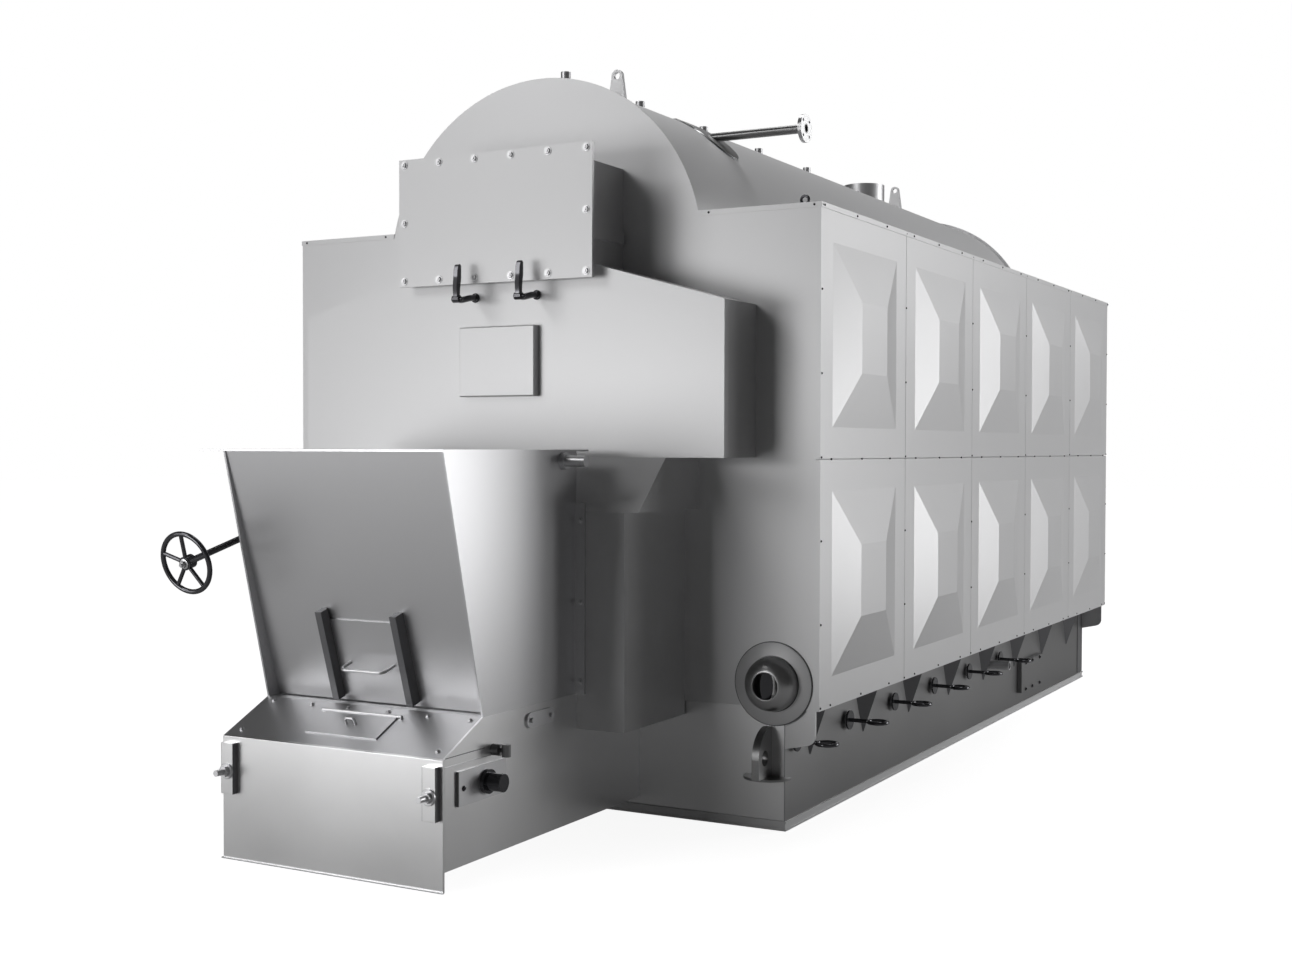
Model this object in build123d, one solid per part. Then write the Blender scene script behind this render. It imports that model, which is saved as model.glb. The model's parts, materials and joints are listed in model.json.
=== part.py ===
from build123d import *
import os
from math import atan2, cos, degrees, hypot, pi, radians, sin, sqrt

# Packaged horizontal chain-grate boiler, in millimetres.
# The origin is on the floor, on the centre line, in the plane of the boiler's front wall.
# +Z is up, the front faces -Y, and +X is the right hand of someone who faces the front.

# Lower casing and its base frame
OVERHANG = 156
LOWER_SETBACK = 8
BASE_HEIGHT = 40
BASE_PROUD = 8
BASE_RAIL_WIDTH = 100
CHANNEL_WEB_DEPTH = 5
CHANNEL_LIP = 8

# Insulated upper casing
CASING_WIDTH = 2750
CASING_BOTTOM = 515
ROW_SEAM_HEIGHT = 1560
DECK_TOP = 2620
DECK_THICKNESS = 22
DECK_OVERHANG = 3
BAYS = 5
BAY_LENGTH = 1040
PANEL_SHEET = 20
PANEL_GAP = 4
WALL_PLATE = 20

# Pressed diamond on each side panel
PRESS_MARGIN = 132
PRESS_RUN = 234
PRESS_HEIGHT = 42

# Drum along the top
DRUM_CENTRE_HEIGHT = 2440
DRUM_RADIUS = 810
DRUM_END_RADIUS = 828

# Fittings on the drum
SOCKET_COUNT = 5
SOCKET_FIRST = 236
SOCKET_SPACING = 714
SOCKET_RADIUS = 23
SOCKET_BORE = 16
SOCKET_STANDS = 96
NOZZLE_AT = 4080
NOZZLE_RADIUS = 136.5
NOZZLE_WALL = 8
NOZZLE_STANDS = 125
NOZZLE_BORE_DEPTH = 112
LUG_PLACES = (722, 4692)
LUG_THICKNESS = 20
LUG_BASE_WIDTH = 116
LUG_EYE_RADIUS = 30
LUG_HOLE_RADIUS = 17
LUG_EYE_STANDS = 178
STEAM_AT = 795
STEAM_BELOW_CROWN = 155
STEAM_PIPE_RADIUS = 21
STEAM_PIPE_BORE = 17
STEAM_FLANGE_FACE = 970
STEAM_FLANGE_RADIUS = 65
STEAM_FLANGE_THICKNESS = 18
STEAM_HUB_LENGTH = 18
STEAM_HUB_FLARE = 12
STEAM_BORE_DEPTH = 120
STEAM_BOLT_CIRCLE = 98
STEAM_BOLT_HOLE_RADIUS = 7
STEAM_BOLTS = 4
PAD_RADIUS = 110
PAD_THICKNESS = 8

# Eyes on the top decks
DECK_EYE_INSET = 115
DECK_EYE_Y = 100
DECK_EYE_RING = 17
DECK_EYE_ROD = 6
DECK_EYE_FOOT = 14
DECK_EYE_FOOT_HEIGHT = 10

# Front cover, the neck above it and the bolted door plate
COVER_WIDTH = 2164
COVER_DEPTH = 304
COVER_BOTTOM = 1566
COVER_SHOULDER = 2209
COVER_TOP = 2388
NECK_WIDTH = 880
NECK_DEPTH = 354
NECK_HEIGHT = 438
NECK_COLLAR = 20
NECK_RIB_HEIGHT = 52
NECK_RIB_PROUD = 14
NECK_RIB_RISE = 132
DOOR_WIDTH = 1000
DOOR_LAP_BELOW = 69
DOOR_LAP_ABOVE = 58
DOOR_THICKNESS = 15
CLAMP_PLACES = (-132, 187)
CLAMP_BELOW_NECK = 136
CLAMP_REACH = 140
CLAMP_BAR = 22
CLAMP_RISE = 146
CLAMP_EYE_PROUD = 4
HAND_COVER_WIDTH = 390
HAND_COVER_BOTTOM = 1828
HAND_COVER_TOP = 2132
HAND_COVER_PROUD = 36

# Hood and throat between the hopper and the furnace
HOOD_WIDTH = 1630
THROAT_WIDTH = 1500
THROAT_DEPTH = 533
THROAT_BOTTOM = 455
THROAT_TOP = 1345

# Coal hopper
PLATE = 8
HOPPER_WIDTH = 1050
HOPPER_BOTTOM = 600
HOPPER_TOP = 1590
HOPPER_FOOT_BACK = 253
HOPPER_PLATE_RECESS = 63
HOPPER_FRONT_LEAN = 304
HOPPER_FOOT_GAP = 6
RIM_THICKNESS = 8
RIM_LEFT_LIP = 125
RIM_RIGHT_LIP = 5
RIM_FRONT_LIP = 6
RIM_BACK_LIP = 88
RIM_INSIDE_LIP = 15
FLANGE_WIDTH = 45
FLANGE_THICKNESS = 12
FLANGE_TOP = 1380
SHAFT_BEHIND_THROAT = 107
SHAFT_BELOW_TOP = 38
SHAFT_RADIUS = 22
SHAFT_STUB = 110
SHAFT_BOSS_RADIUS = 34
SHAFT_BOSS_LENGTH = 22

# Slide gate over the clean-out in the hopper's front plate
GATE_TOP = 337
GATE_BOTTOM = 32
GATE_THICKNESS = 6
GATE_WIDTH = 344
GATE_PLAY = 1
GATE_TRAVEL = 190
GUIDE_TOP = 380
GUIDE_BOTTOM = 26
GUIDE_INSIDE = 330
GUIDE_WIDTH = 30
GUIDE_DEPTH = 50
CLEAN_OUT_WIDTH = 250
CLEAN_OUT_BOTTOM = 60
CLEAN_OUT_TOP = 190
HANDLE_WIDTH = 212
HANDLE_REACH = 75
HANDLE_BAR = 6
HANDLE_BEND = 26
HANDLE_AT = 165

# Handwheel on the left of the hopper
WHEEL_RADIUS = 117
WHEEL_RIM = 10
WHEEL_SPOKES = 5
WHEEL_SPOKE_RADIUS = 8
WHEEL_HUB_RADIUS = 27
WHEEL_HUB_LENGTH = 40
WHEEL_BESIDE = 60
WHEEL_AHEAD = 144
WHEEL_BELOW_TOP = 430
WHEEL_TILT = 15
ROD_RADIUS = 13
ROD_LENGTH = 520
ROD_PLAY = 0.06
BEARING_AT = 430
BEARING_LENGTH = 60
BEARING_RADIUS = 26

# Grate box that runs out in front under the hopper
BOX_LENGTH = 1458
BOX_FRONT_HEIGHT = 480
BOX_UNDERSIDE = 74
BOX_FRONT_PLATE = 10
HATCH_WIDTH = 342
HATCH_FRONT = 76
HATCH_BACK = 222
HATCH_LAP = 16
HATCH_THICKNESS = 6
HATCH_BARREL = 7
HATCH_PIN = 3
HATCH_PIN_PLAY = 0.06
HATCH_EAR = 20
LATCH_WIDTH = 44
LATCH_RISE = 26
LATCH_BAR = 5
BLOCK_INSIDE = 453
BLOCK_WIDTH = 57
BLOCK_BOTTOM = 260
BLOCK_TOP = 458
BLOCK_PROUD = 27
SCREW_HEIGHT = 350
SCREW_RADIUS = 12
SCREW_OUT = 62
WASHER_RADIUS = 31
WASHER_THICKNESS = 6
NUT_RADIUS = 22
NUT_THICKNESS = 18
GRATE_SHAFT_BACK = 263
GRATE_SHAFT_HEIGHT = 361
GRATE_SHAFT_RADIUS = 34
GRATE_SHAFT_OUT = 88
COLLAR_RADIUS = 46
COLLAR_LENGTH = 16
BEARING_PLATE = 10
BEARING_PLATE_BOTTOM = 297
BEARING_PLATE_TOP = 426
BEARING_PLATE_BACK = 85
BEARING_PLATE_LENGTH = 308
GREASE_BACK = 320
GREASE_HEIGHT = 470
GREASE_BODY_RADIUS = 22
GREASE_BODY_OUT = 34
GREASE_NECK_RADIUS = 9
GREASE_NECK_OUT = 26
GREASE_CUP_RADIUS = 17
GREASE_CUP_HEIGHT = 46
LINK_PLATE_BACK = 642
LINK_PLATE_BELOW = 57
LINK_PLATE_LENGTH = 200
LINK_PLATE_WIDTH = 60
LINK_PLATE_THICKNESS = 10
LINK_PIN_RADIUS = 10
LINK_PIN_OUT = 10

# Round air ports and the eye lugs under them
PORT_INSET = 206
PORT_HEIGHT = 618
PORT_FLANGE_RADIUS = 174
PORT_FLANGE_THICKNESS = 8
PORT_DOME_RADIUS = 128
PORT_DOME_DEPTH = 150
PORT_MOUTH_RADIUS = 62
PORT_WALL = 8
EYE_LUG_INSET = 76
EYE_LUG_THICKNESS = 33
EYE_LUG_REACH = 125
EYE_LUG_BOTTOM = 228
EYE_LUG_TOP = 437
EYE_LUG_HOLE = 32
EYE_SHELF_RADIUS = 105
EYE_SHELF_THICKNESS = 10

# Wing plates and tapered brackets under the overhang
WING_INNER_DROP = 170
WING_OUTER_DROP = 140
WING_CORNER = 45
BRACKETS = 8
BRACKET_FIRST = 276
BRACKET_SPACING = 638
BRACKET_HALF_WIDTH = 117
BRACKET_REACH = 83
BRACKET_TIP = 279

# Air dampers along the lower casing
DAMPERS = 6
DAMPER_FIRST = 100
DAMPER_SPACING = 604
DAMPER_HEIGHT = 366
DAMPER_BOSS_RADIUS = 20
DAMPER_BOSS_LENGTH = 13
DAMPER_DISC_RADIUS = 44
DAMPER_DISC_THICKNESS = 8
DAMPER_ROD_RADIUS = 9
DAMPER_ROD_LENGTH = 78
DAMPER_RING_RADIUS = 44
DAMPER_RING_BAR = 8

# Clean-out plate and blow-down stub low on each side
SIDE_PLATE_AT = 3549
SIDE_PLATE_LENGTH = 506
SIDE_PLATE_BOTTOM = 107
SIDE_PLATE_TOP = 297
SIDE_PLATE_PROUD = 27
DRAIN_AT = 2960
DRAIN_HEIGHT = 352
DRAIN_RADIUS = 25
DRAIN_OUT = 118
DRAIN_BORE = 19

# Flue outlet on the rear wall
FLUE_WIDTH = 760
FLUE_HEIGHT = 520
FLUE_CENTRE_HEIGHT = 1960
FLUE_OUT = 90
FLUE_WALL = 8
FLUE_FLANGE = 45
FLUE_FLANGE_THICKNESS = 10

SEAT = 0.3

LENGTH = BAYS * BAY_LENGTH
HALF_CASING = CASING_WIDTH / 2
HALF_LOWER = HALF_CASING - OVERHANG
HALF_HOPPER = HOPPER_WIDTH / 2
CORE_HALF = HALF_CASING - PANEL_SHEET
DECK_UNDERSIDE = DECK_TOP - DECK_THICKNESS
DRUM_TOP = DRUM_CENTRE_HEIGHT + DRUM_RADIUS
STEAM_HEIGHT = DRUM_TOP - STEAM_BELOW_CROWN
NECK_TOP = COVER_TOP + NECK_HEIGHT
HOPPER_SIDE_FOOT = HOPPER_FOOT_BACK - BOX_LENGTH
HOPPER_PLATE_FOOT = HOPPER_SIDE_FOOT + HOPPER_PLATE_RECESS
HOPPER_FRONT_TOP = HOPPER_PLATE_FOOT - HOPPER_FRONT_LEAN
SHAFT_AT = -THROAT_DEPTH - SHAFT_BEHIND_THROAT
SHAFT_HEIGHT = HOPPER_TOP - SHAFT_BELOW_TOP
GRATE_SHAFT_AT = GRATE_SHAFT_BACK - BOX_LENGTH
LINK_PLATE_AT = LINK_PLATE_BACK - BOX_LENGTH
LINK_PLATE_HEIGHT = HOPPER_BOTTOM - LINK_PLATE_BELOW
WHEEL_AT = (-HALF_HOPPER - WHEEL_BESIDE, HOPPER_FRONT_TOP - WHEEL_AHEAD, HOPPER_TOP - WHEEL_BELOW_TOP)
PORT_X = HALF_CASING - PORT_INSET
EYE_LUG_X = HALF_LOWER - EYE_LUG_INSET

os.makedirs("parts", exist_ok=True)


def block(x0, x1, y0, y1, z0, z1):
    """A plain box between two corners."""
    centre = ((x0 + x1) / 2, (y0 + y1) / 2, (z0 + z1) / 2)
    return Pos(*centre) * Box(x1 - x0, y1 - y0, z1 - z0)


def along_x(x0, x1, radius, y, z):
    """A round bar along X."""
    return Pos((x0 + x1) / 2, y, z) * Rot(0, 90, 0) * Cylinder(radius, x1 - x0)


def along_y(y0, y1, radius, x, z):
    """A round bar along Y."""
    return Pos(x, (y0 + y1) / 2, z) * Rot(90, 0, 0) * Cylinder(radius, y1 - y0)


def upright(z0, z1, radius, x, y):
    """A round bar along Z."""
    return Pos(x, y, (z0 + z1) / 2) * Cylinder(radius, z1 - z0)


def across(points, x0, x1):
    """A side profile of (Y, Z) points, carried across from x0 to x1."""
    face = make_face(Polyline(*[(x0, y, z) for y, z in points], close=True))
    return extrude(face, amount=x1 - x0, dir=(1, 0, 0))


def lengthways(outline, y0, y1):
    """A front view of (X, Z) points or a sketch on the front plane, carried from y0 to y1."""
    if isinstance(outline, list):
        outline = make_face(Polyline(*[(x, 0, z) for x, z in outline], close=True))
    return extrude(Pos(0, y0, 0) * outline, amount=y1 - y0, dir=(0, 1, 0))


def both_sides(shape):
    """The shape and its mirror image on the left."""
    return [shape, mirror(shape, Plane.YZ)]


def save(name, *shapes):
    """Write one node from the solids in the given shapes."""
    solids = []
    for shape in shapes:
        group = shape if isinstance(shape, list) else [shape]
        for item in group:
            solids.extend(item.solids())
    export_step(Compound(children=solids), f"parts/{name}.step")


def drum_bar(radius, y0, y1):
    """A full round bar on the drum's axis."""
    return along_y(y0, y1, radius, 0, DRUM_CENTRE_HEIGHT)


def base_frame():
    """A rectangle of channel rails with their webs set back from the lips."""
    half = HALF_LOWER + BASE_PROUD
    front = LOWER_SETBACK - BASE_PROUD
    back = LENGTH - front
    rail = block(-half, half, front, back, 0, BASE_HEIGHT)
    inside = BASE_RAIL_WIDTH
    rail -= block(-half + inside, half - inside, front + inside, back - inside, -1, BASE_HEIGHT + 1)
    web = block(-half, half, front, back, CHANNEL_LIP, BASE_HEIGHT - CHANNEL_LIP)
    deep = CHANNEL_WEB_DEPTH
    web -= block(-half + deep, half - deep, front + deep, back - deep, 0, BASE_HEIGHT)
    return rail - web


def lower_casing():
    """The closed housing round the grate and the air boxes."""
    back = LENGTH - LOWER_SETBACK
    return block(-HALF_LOWER, HALF_LOWER, LOWER_SETBACK, back, BASE_HEIGHT, CASING_BOTTOM)


def wing_plates():
    """Plates that close the overhang at both ends, on both sides."""
    outer = HALF_CASING - PANEL_SHEET
    points = [
        (HALF_LOWER, CASING_BOTTOM),
        (outer, CASING_BOTTOM),
        (outer, CASING_BOTTOM - WING_OUTER_DROP),
        (HALF_LOWER, CASING_BOTTOM - WING_INNER_DROP),
    ]
    plate = lengthways(points, LOWER_SETBACK, WALL_PLATE)
    corner = plate.edges().filter_by(Axis.Y).group_by(Axis.X)[-1].sort_by(Axis.Z)[0]
    plate = fillet(corner, min(WING_CORNER, (outer - HALF_LOWER) / 2))
    rear = mirror(plate, Plane.XZ.offset(-LENGTH / 2))
    return both_sides(plate) + both_sides(rear)


def bracket(centre):
    """One folded bracket, wide under the casing and pointed at the wall."""
    outline = [(HALF_LOWER, -BRACKET_HALF_WIDTH), (HALF_LOWER + BRACKET_REACH, 0), (HALF_LOWER, BRACKET_HALF_WIDTH)]
    small = 0.04
    tip = [(HALF_LOWER + (x - HALF_LOWER) * small, y * small) for x, y in outline]
    top = make_face(Polyline(*[(x, centre + y, CASING_BOTTOM) for x, y in outline], close=True))
    foot = make_face(Polyline(*[(x, centre + y, BRACKET_TIP) for x, y in tip], close=True))
    return loft([foot, top])


def casing_core():
    """The closed body inside the casing sheets."""
    return block(-CORE_HALF, CORE_HALF, WALL_PLATE, LENGTH - WALL_PLATE, CASING_BOTTOM, DECK_UNDERSIDE)


def end_wall(y0):
    """A flat wall with the round drum end standing on it."""
    wall = block(-CORE_HALF, CORE_HALF, y0, y0 + WALL_PLATE, CASING_BOTTOM, DECK_UNDERSIDE)
    disc = drum_bar(DRUM_END_RADIUS, y0, y0 + WALL_PLATE)
    reach = DRUM_END_RADIUS + 1
    above = block(-reach, reach, y0, y0 + WALL_PLATE, DECK_UNDERSIDE, DRUM_CENTRE_HEIGHT + reach)
    return wall + (disc & above)


def side_panel(bay, low, high):
    """One sheet with a flat-topped pyramid pressed out of it."""
    start = bay * BAY_LENGTH + (PANEL_GAP / 2 if bay else 0)
    last = bay == BAYS - 1
    stop = (bay + 1) * BAY_LENGTH - (0 if last else PANEL_GAP / 2)
    sheet = block(CORE_HALF, HALF_CASING, start, stop, low, high)
    middle_y = (bay + 0.5) * BAY_LENGTH
    middle_z = (low + high) / 2
    wide = BAY_LENGTH - 2 * PRESS_MARGIN
    tall = high - low - 2 * PRESS_MARGIN
    outer = Plane.YZ.offset(HALF_CASING) * Pos(middle_y, middle_z) * Rectangle(wide, tall)
    inner = Rectangle(wide - 2 * PRESS_RUN, tall - 2 * PRESS_RUN)
    inner = Plane.YZ.offset(HALF_CASING + PRESS_HEIGHT) * Pos(middle_y, middle_z) * inner
    return sheet + loft([outer, inner])


def top_deck():
    """The flat deck beside the drum, with its edge over the panels."""
    half = HALF_CASING + DECK_OVERHANG
    deck = block(0, half, -DECK_OVERHANG, LENGTH + DECK_OVERHANG, DECK_UNDERSIDE, DECK_TOP)
    deck -= drum_bar(DRUM_RADIUS + SEAT, -DECK_OVERHANG, LENGTH + DECK_OVERHANG)
    for y0 in (0, LENGTH - WALL_PLATE):
        deck -= drum_bar(DRUM_END_RADIUS + SEAT, y0 - DECK_OVERHANG, y0 + WALL_PLATE + DECK_OVERHANG)
    return deck.solids().sort_by(Axis.X)[-1]


def drum_jacket():
    """The drum's insulated jacket above the decks."""
    bar = drum_bar(DRUM_RADIUS, WALL_PLATE, LENGTH - WALL_PLATE)
    reach = DRUM_RADIUS + 1
    return bar & block(-reach, reach, 0, LENGTH, DECK_UNDERSIDE, DRUM_TOP + 1)


def drum_sockets():
    """Screwed sockets in a row on the drum's crown."""
    cutter = drum_bar(DRUM_RADIUS, 0, LENGTH)
    sockets = []
    for number in range(SOCKET_COUNT):
        y = SOCKET_FIRST + number * SOCKET_SPACING
        body = upright(DRUM_TOP - 20, DRUM_TOP + SOCKET_STANDS, SOCKET_RADIUS, 0, y)
        bore = upright(DRUM_TOP + SOCKET_STANDS / 2, DRUM_TOP + SOCKET_STANDS, SOCKET_BORE, 0, y)
        sockets.append(body - bore - cutter)
    return sockets


def main_nozzle():
    """The large open stub near the drum's rear."""
    top = DRUM_TOP + NOZZLE_STANDS
    body = upright(DRUM_TOP - NOZZLE_RADIUS, top, NOZZLE_RADIUS, 0, NOZZLE_AT)
    bore = upright(top - NOZZLE_BORE_DEPTH, top, NOZZLE_RADIUS - NOZZLE_WALL, 0, NOZZLE_AT)
    return body - bore - drum_bar(DRUM_RADIUS, 0, LENGTH)


def lifting_lug(y):
    """A tapered lug plate that stands across the drum."""
    eye_z = DRUM_TOP + LUG_EYE_STANDS
    half = LUG_BASE_WIDTH / 2
    outline = [(-half, DRUM_TOP - 20), (half, DRUM_TOP - 20), (LUG_EYE_RADIUS, eye_z), (-LUG_EYE_RADIUS, eye_z)]
    y0 = y - LUG_THICKNESS / 2
    y1 = y + LUG_THICKNESS / 2
    plate = lengthways(outline, y0, y1) + along_y(y0, y1, LUG_EYE_RADIUS, 0, eye_z)
    plate -= along_y(y0, y1, LUG_HOLE_RADIUS, 0, eye_z)
    return plate - drum_bar(DRUM_RADIUS, 0, LENGTH)


def steam_pad():
    """The curved pad round the steam pipe's root."""
    ring = drum_bar(DRUM_RADIUS + PAD_THICKNESS, STEAM_AT - PAD_RADIUS, STEAM_AT + PAD_RADIUS)
    ring -= drum_bar(DRUM_RADIUS, STEAM_AT - PAD_RADIUS, STEAM_AT + PAD_RADIUS)
    pad = ring & along_x(0, DRUM_RADIUS, PAD_RADIUS, STEAM_AT, STEAM_HEIGHT)
    return pad - along_x(0, DRUM_RADIUS, STEAM_PIPE_RADIUS, STEAM_AT, STEAM_HEIGHT)


def steam_pipe():
    """The level steam pipe and its bolted flange."""
    pipe = along_x(0, STEAM_FLANGE_FACE, STEAM_PIPE_RADIUS, STEAM_AT, STEAM_HEIGHT)
    back = STEAM_FLANGE_FACE - STEAM_FLANGE_THICKNESS
    pipe += along_x(back, STEAM_FLANGE_FACE, STEAM_FLANGE_RADIUS, STEAM_AT, STEAM_HEIGHT)
    hub = Cone(STEAM_PIPE_RADIUS, STEAM_PIPE_RADIUS + STEAM_HUB_FLARE, STEAM_HUB_LENGTH)
    pipe += Pos(back - STEAM_HUB_LENGTH / 2, STEAM_AT, STEAM_HEIGHT) * Rot(0, 90, 0) * hub
    for number in range(STEAM_BOLTS):
        angle = radians(45 + 360 / STEAM_BOLTS * number)
        y = STEAM_AT + STEAM_BOLT_CIRCLE / 2 * cos(angle)
        z = STEAM_HEIGHT + STEAM_BOLT_CIRCLE / 2 * sin(angle)
        pipe -= along_x(back - 1, STEAM_FLANGE_FACE + 1, STEAM_BOLT_HOLE_RADIUS, y, z)
    bore_end = STEAM_FLANGE_FACE - STEAM_BORE_DEPTH
    pipe -= along_x(bore_end, STEAM_FLANGE_FACE + 1, STEAM_PIPE_BORE, STEAM_AT, STEAM_HEIGHT)
    return pipe - drum_bar(DRUM_RADIUS, 0, LENGTH)


def deck_eye():
    """A ring bolt on the deck, near the front corner."""
    x = HALF_CASING - DECK_EYE_INSET
    foot_top = DECK_TOP + DECK_EYE_FOOT_HEIGHT
    foot = upright(DECK_TOP, foot_top, DECK_EYE_FOOT, x, DECK_EYE_Y)
    ring = Pos(x, DECK_EYE_Y, foot_top + DECK_EYE_RING) * Rot(90, 0, 0) * Torus(DECK_EYE_RING, DECK_EYE_ROD)
    reach = DECK_EYE_RING + 2 * DECK_EYE_ROD
    above = block(x - reach, x + reach, DECK_EYE_Y - reach, DECK_EYE_Y + reach, DECK_TOP, foot_top + 2 * reach)
    return foot + (ring & above)


def front_cover():
    """The smoke-box cover with its sloping shoulders."""
    half = COVER_WIDTH / 2
    neck = NECK_WIDTH / 2
    points = [
        (-half, COVER_BOTTOM),
        (half, COVER_BOTTOM),
        (half, COVER_SHOULDER),
        (neck, COVER_TOP),
        (-neck, COVER_TOP),
        (-half, COVER_SHOULDER),
    ]
    return lengthways(points, -COVER_DEPTH, 0)


def door_neck():
    """The neck box behind the door plate, with a collar and two ribs."""
    half = NECK_WIDTH / 2
    neck = block(-half, half, -NECK_DEPTH, 0, COVER_TOP, NECK_TOP)
    collar = half + NECK_COLLAR
    rise = DOOR_LAP_ABOVE / 2
    neck += block(-collar, collar, -NECK_DEPTH, -COVER_DEPTH, COVER_TOP - NECK_COLLAR, NECK_TOP + rise)
    rib = half + NECK_RIB_PROUD
    low = COVER_TOP + NECK_RIB_RISE - NECK_RIB_HEIGHT / 2
    neck += block(-rib, rib, -COVER_DEPTH, -NECK_RIB_PROUD, low, low + NECK_RIB_HEIGHT)
    return neck


def door_plate():
    """The bare bolted plate on the front of the neck."""
    half = DOOR_WIDTH / 2
    front = -NECK_DEPTH - DOOR_THICKNESS
    return block(-half, half, front, -NECK_DEPTH, COVER_TOP - DOOR_LAP_BELOW, NECK_TOP + DOOR_LAP_ABOVE)


def door_clamp(x):
    """A bar that comes forward from the cover and turns up in front of the door plate."""
    half = CLAMP_BAR / 2
    front = -COVER_DEPTH - CLAMP_REACH
    z = COVER_TOP - CLAMP_BELOW_NECK
    arm = block(x - half, x + half, front, -COVER_DEPTH, z - half, z + half)
    lever = block(x - half, x + half, front, front + CLAMP_BAR, z - half, z + CLAMP_RISE)
    eye = half + CLAMP_EYE_PROUD
    pivot = along_x(x - eye, x + eye, eye, front + half, z)
    return arm + lever + pivot


def hand_cover():
    """The raised square cover on the front cover."""
    half = HAND_COVER_WIDTH / 2
    front = -COVER_DEPTH - HAND_COVER_PROUD
    cover = block(-half, half, front, -COVER_DEPTH, HAND_COVER_BOTTOM, HAND_COVER_TOP)
    return chamfer(cover.faces().sort_by(Axis.Y)[0].edges(), HAND_COVER_PROUD / 8)


def hood():
    """The shoulder that slopes out from the cover's foot to the throat."""
    points = [
        (0, THROAT_TOP),
        (-THROAT_DEPTH, THROAT_TOP),
        (-COVER_DEPTH, COVER_BOTTOM),
        (0, COVER_BOTTOM),
    ]
    return across(points, -HOOD_WIDTH / 2, HOOD_WIDTH / 2)


def throat_box():
    """The box between the hopper and the front wall, let over the grate box."""
    half = THROAT_WIDTH / 2
    box = block(-half, half, -THROAT_DEPTH, 0, THROAT_BOTTOM, THROAT_TOP)
    return box - block(-HALF_HOPPER, HALF_HOPPER, -THROAT_DEPTH, 0, THROAT_BOTTOM, HOPPER_BOTTOM)


# The hopper's sloping front plate, seen from the side
FRONT_RISE = HOPPER_TOP - HOPPER_BOTTOM - HOPPER_FOOT_GAP
FRONT_RUN = HOPPER_PLATE_FOOT - HOPPER_FRONT_TOP
FRONT_LONG = hypot(FRONT_RISE, FRONT_RUN)
FRONT_LEAN = degrees(atan2(FRONT_RUN, FRONT_RISE))


def on_front(shape):
    """Place a shape drawn flat on the hopper's front plate.

    In the drawing X is across, Y is up the plate from its foot and Z is out of the plate.
    """
    plane = Plane(
        origin=(0, HOPPER_PLATE_FOOT, HOPPER_BOTTOM + HOPPER_FOOT_GAP),
        x_dir=(1, 0, 0),
        z_dir=(0, -FRONT_RISE, -FRONT_RUN),
    )
    return plane.location * shape


def up_front(height):
    """Distance up the front plate of a point at a given height over the hopper's foot."""
    return (height - HOPPER_FOOT_GAP) * FRONT_LONG / FRONT_RISE


def hopper_front():
    """The sloping front plate with the clean-out cut through it."""
    half = HALF_HOPPER - PLATE
    plate = on_front(block(-half, half, 0, FRONT_LONG, -PLATE, 0))
    gap = CLEAN_OUT_WIDTH / 2
    hole = block(-gap, gap, up_front(CLEAN_OUT_BOTTOM), up_front(CLEAN_OUT_TOP), -PLATE - 1, 1)
    trim = block(-half, half, HOPPER_FRONT_TOP - PLATE, 0, 0, HOPPER_TOP)
    return (plate - on_front(hole)) & trim


def hopper_side():
    """The right side plate, whose front edge stands ahead of the front plate."""
    back = -THROAT_DEPTH - PLATE
    points = [
        (HOPPER_FRONT_TOP - RIM_FRONT_LIP, HOPPER_TOP),
        (back, HOPPER_TOP),
        (back, HOPPER_BOTTOM),
        (HOPPER_SIDE_FOOT, HOPPER_BOTTOM),
    ]
    plate = across(points, HALF_HOPPER - PLATE, HALF_HOPPER)
    return plate - along_x(0, HOPPER_WIDTH, SHAFT_RADIUS, SHAFT_AT, SHAFT_HEIGHT)


def hopper_back():
    """The plate that closes the hopper against the throat."""
    back = -THROAT_DEPTH
    return block(-HALF_HOPPER, HALF_HOPPER, back - PLATE, back, HOPPER_BOTTOM, HOPPER_TOP)


def hopper_rim():
    """The flat frame round the hopper's mouth, wider on the left."""
    left = -HALF_HOPPER - RIM_LEFT_LIP
    right = HALF_HOPPER + RIM_RIGHT_LIP
    front = HOPPER_FRONT_TOP - RIM_FRONT_LIP
    back = -THROAT_DEPTH + RIM_BACK_LIP
    top = HOPPER_TOP + RIM_THICKNESS
    frame = block(left, right, front, back, HOPPER_TOP, top)
    inside = HALF_HOPPER - RIM_INSIDE_LIP
    front_lip = front + RIM_INSIDE_LIP
    back_lip = -THROAT_DEPTH - RIM_INSIDE_LIP
    return frame - block(-inside, inside, front_lip, back_lip, HOPPER_TOP, top)


def hopper_flange():
    """The bolted strip between the hopper's side and the throat."""
    back = -THROAT_DEPTH
    low = HOPPER_BOTTOM
    return block(HALF_HOPPER, HALF_HOPPER + FLANGE_WIDTH, back - FLANGE_THICKNESS, back, low, FLANGE_TOP)


def gate_shaft():
    """The coal-gate shaft across the hopper, with a boss at each side plate."""
    reach = HALF_HOPPER + SHAFT_STUB
    shaft = along_x(-reach, reach, SHAFT_RADIUS, SHAFT_AT, SHAFT_HEIGHT)
    for side in (-1, 1):
        inner = side * HALF_HOPPER
        outer = side * (HALF_HOPPER + SHAFT_BOSS_LENGTH)
        shaft += along_x(min(inner, outer), max(inner, outer), SHAFT_BOSS_RADIUS, SHAFT_AT, SHAFT_HEIGHT)
    return shaft


def slide_guide():
    """The right guide, a bar with a groove for the edge of the slide gate."""
    low = up_front(GUIDE_BOTTOM)
    high = up_front(GUIDE_TOP)
    inside = GUIDE_INSIDE / 2
    bar = block(inside, inside + GUIDE_WIDTH, low, high, 0, GUIDE_DEPTH)
    deep = GATE_WIDTH / 2 + GATE_PLAY
    groove = block(0, deep, low, high, 0, GATE_THICKNESS + 2 * GATE_PLAY)
    return on_front(bar - groove)


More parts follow.
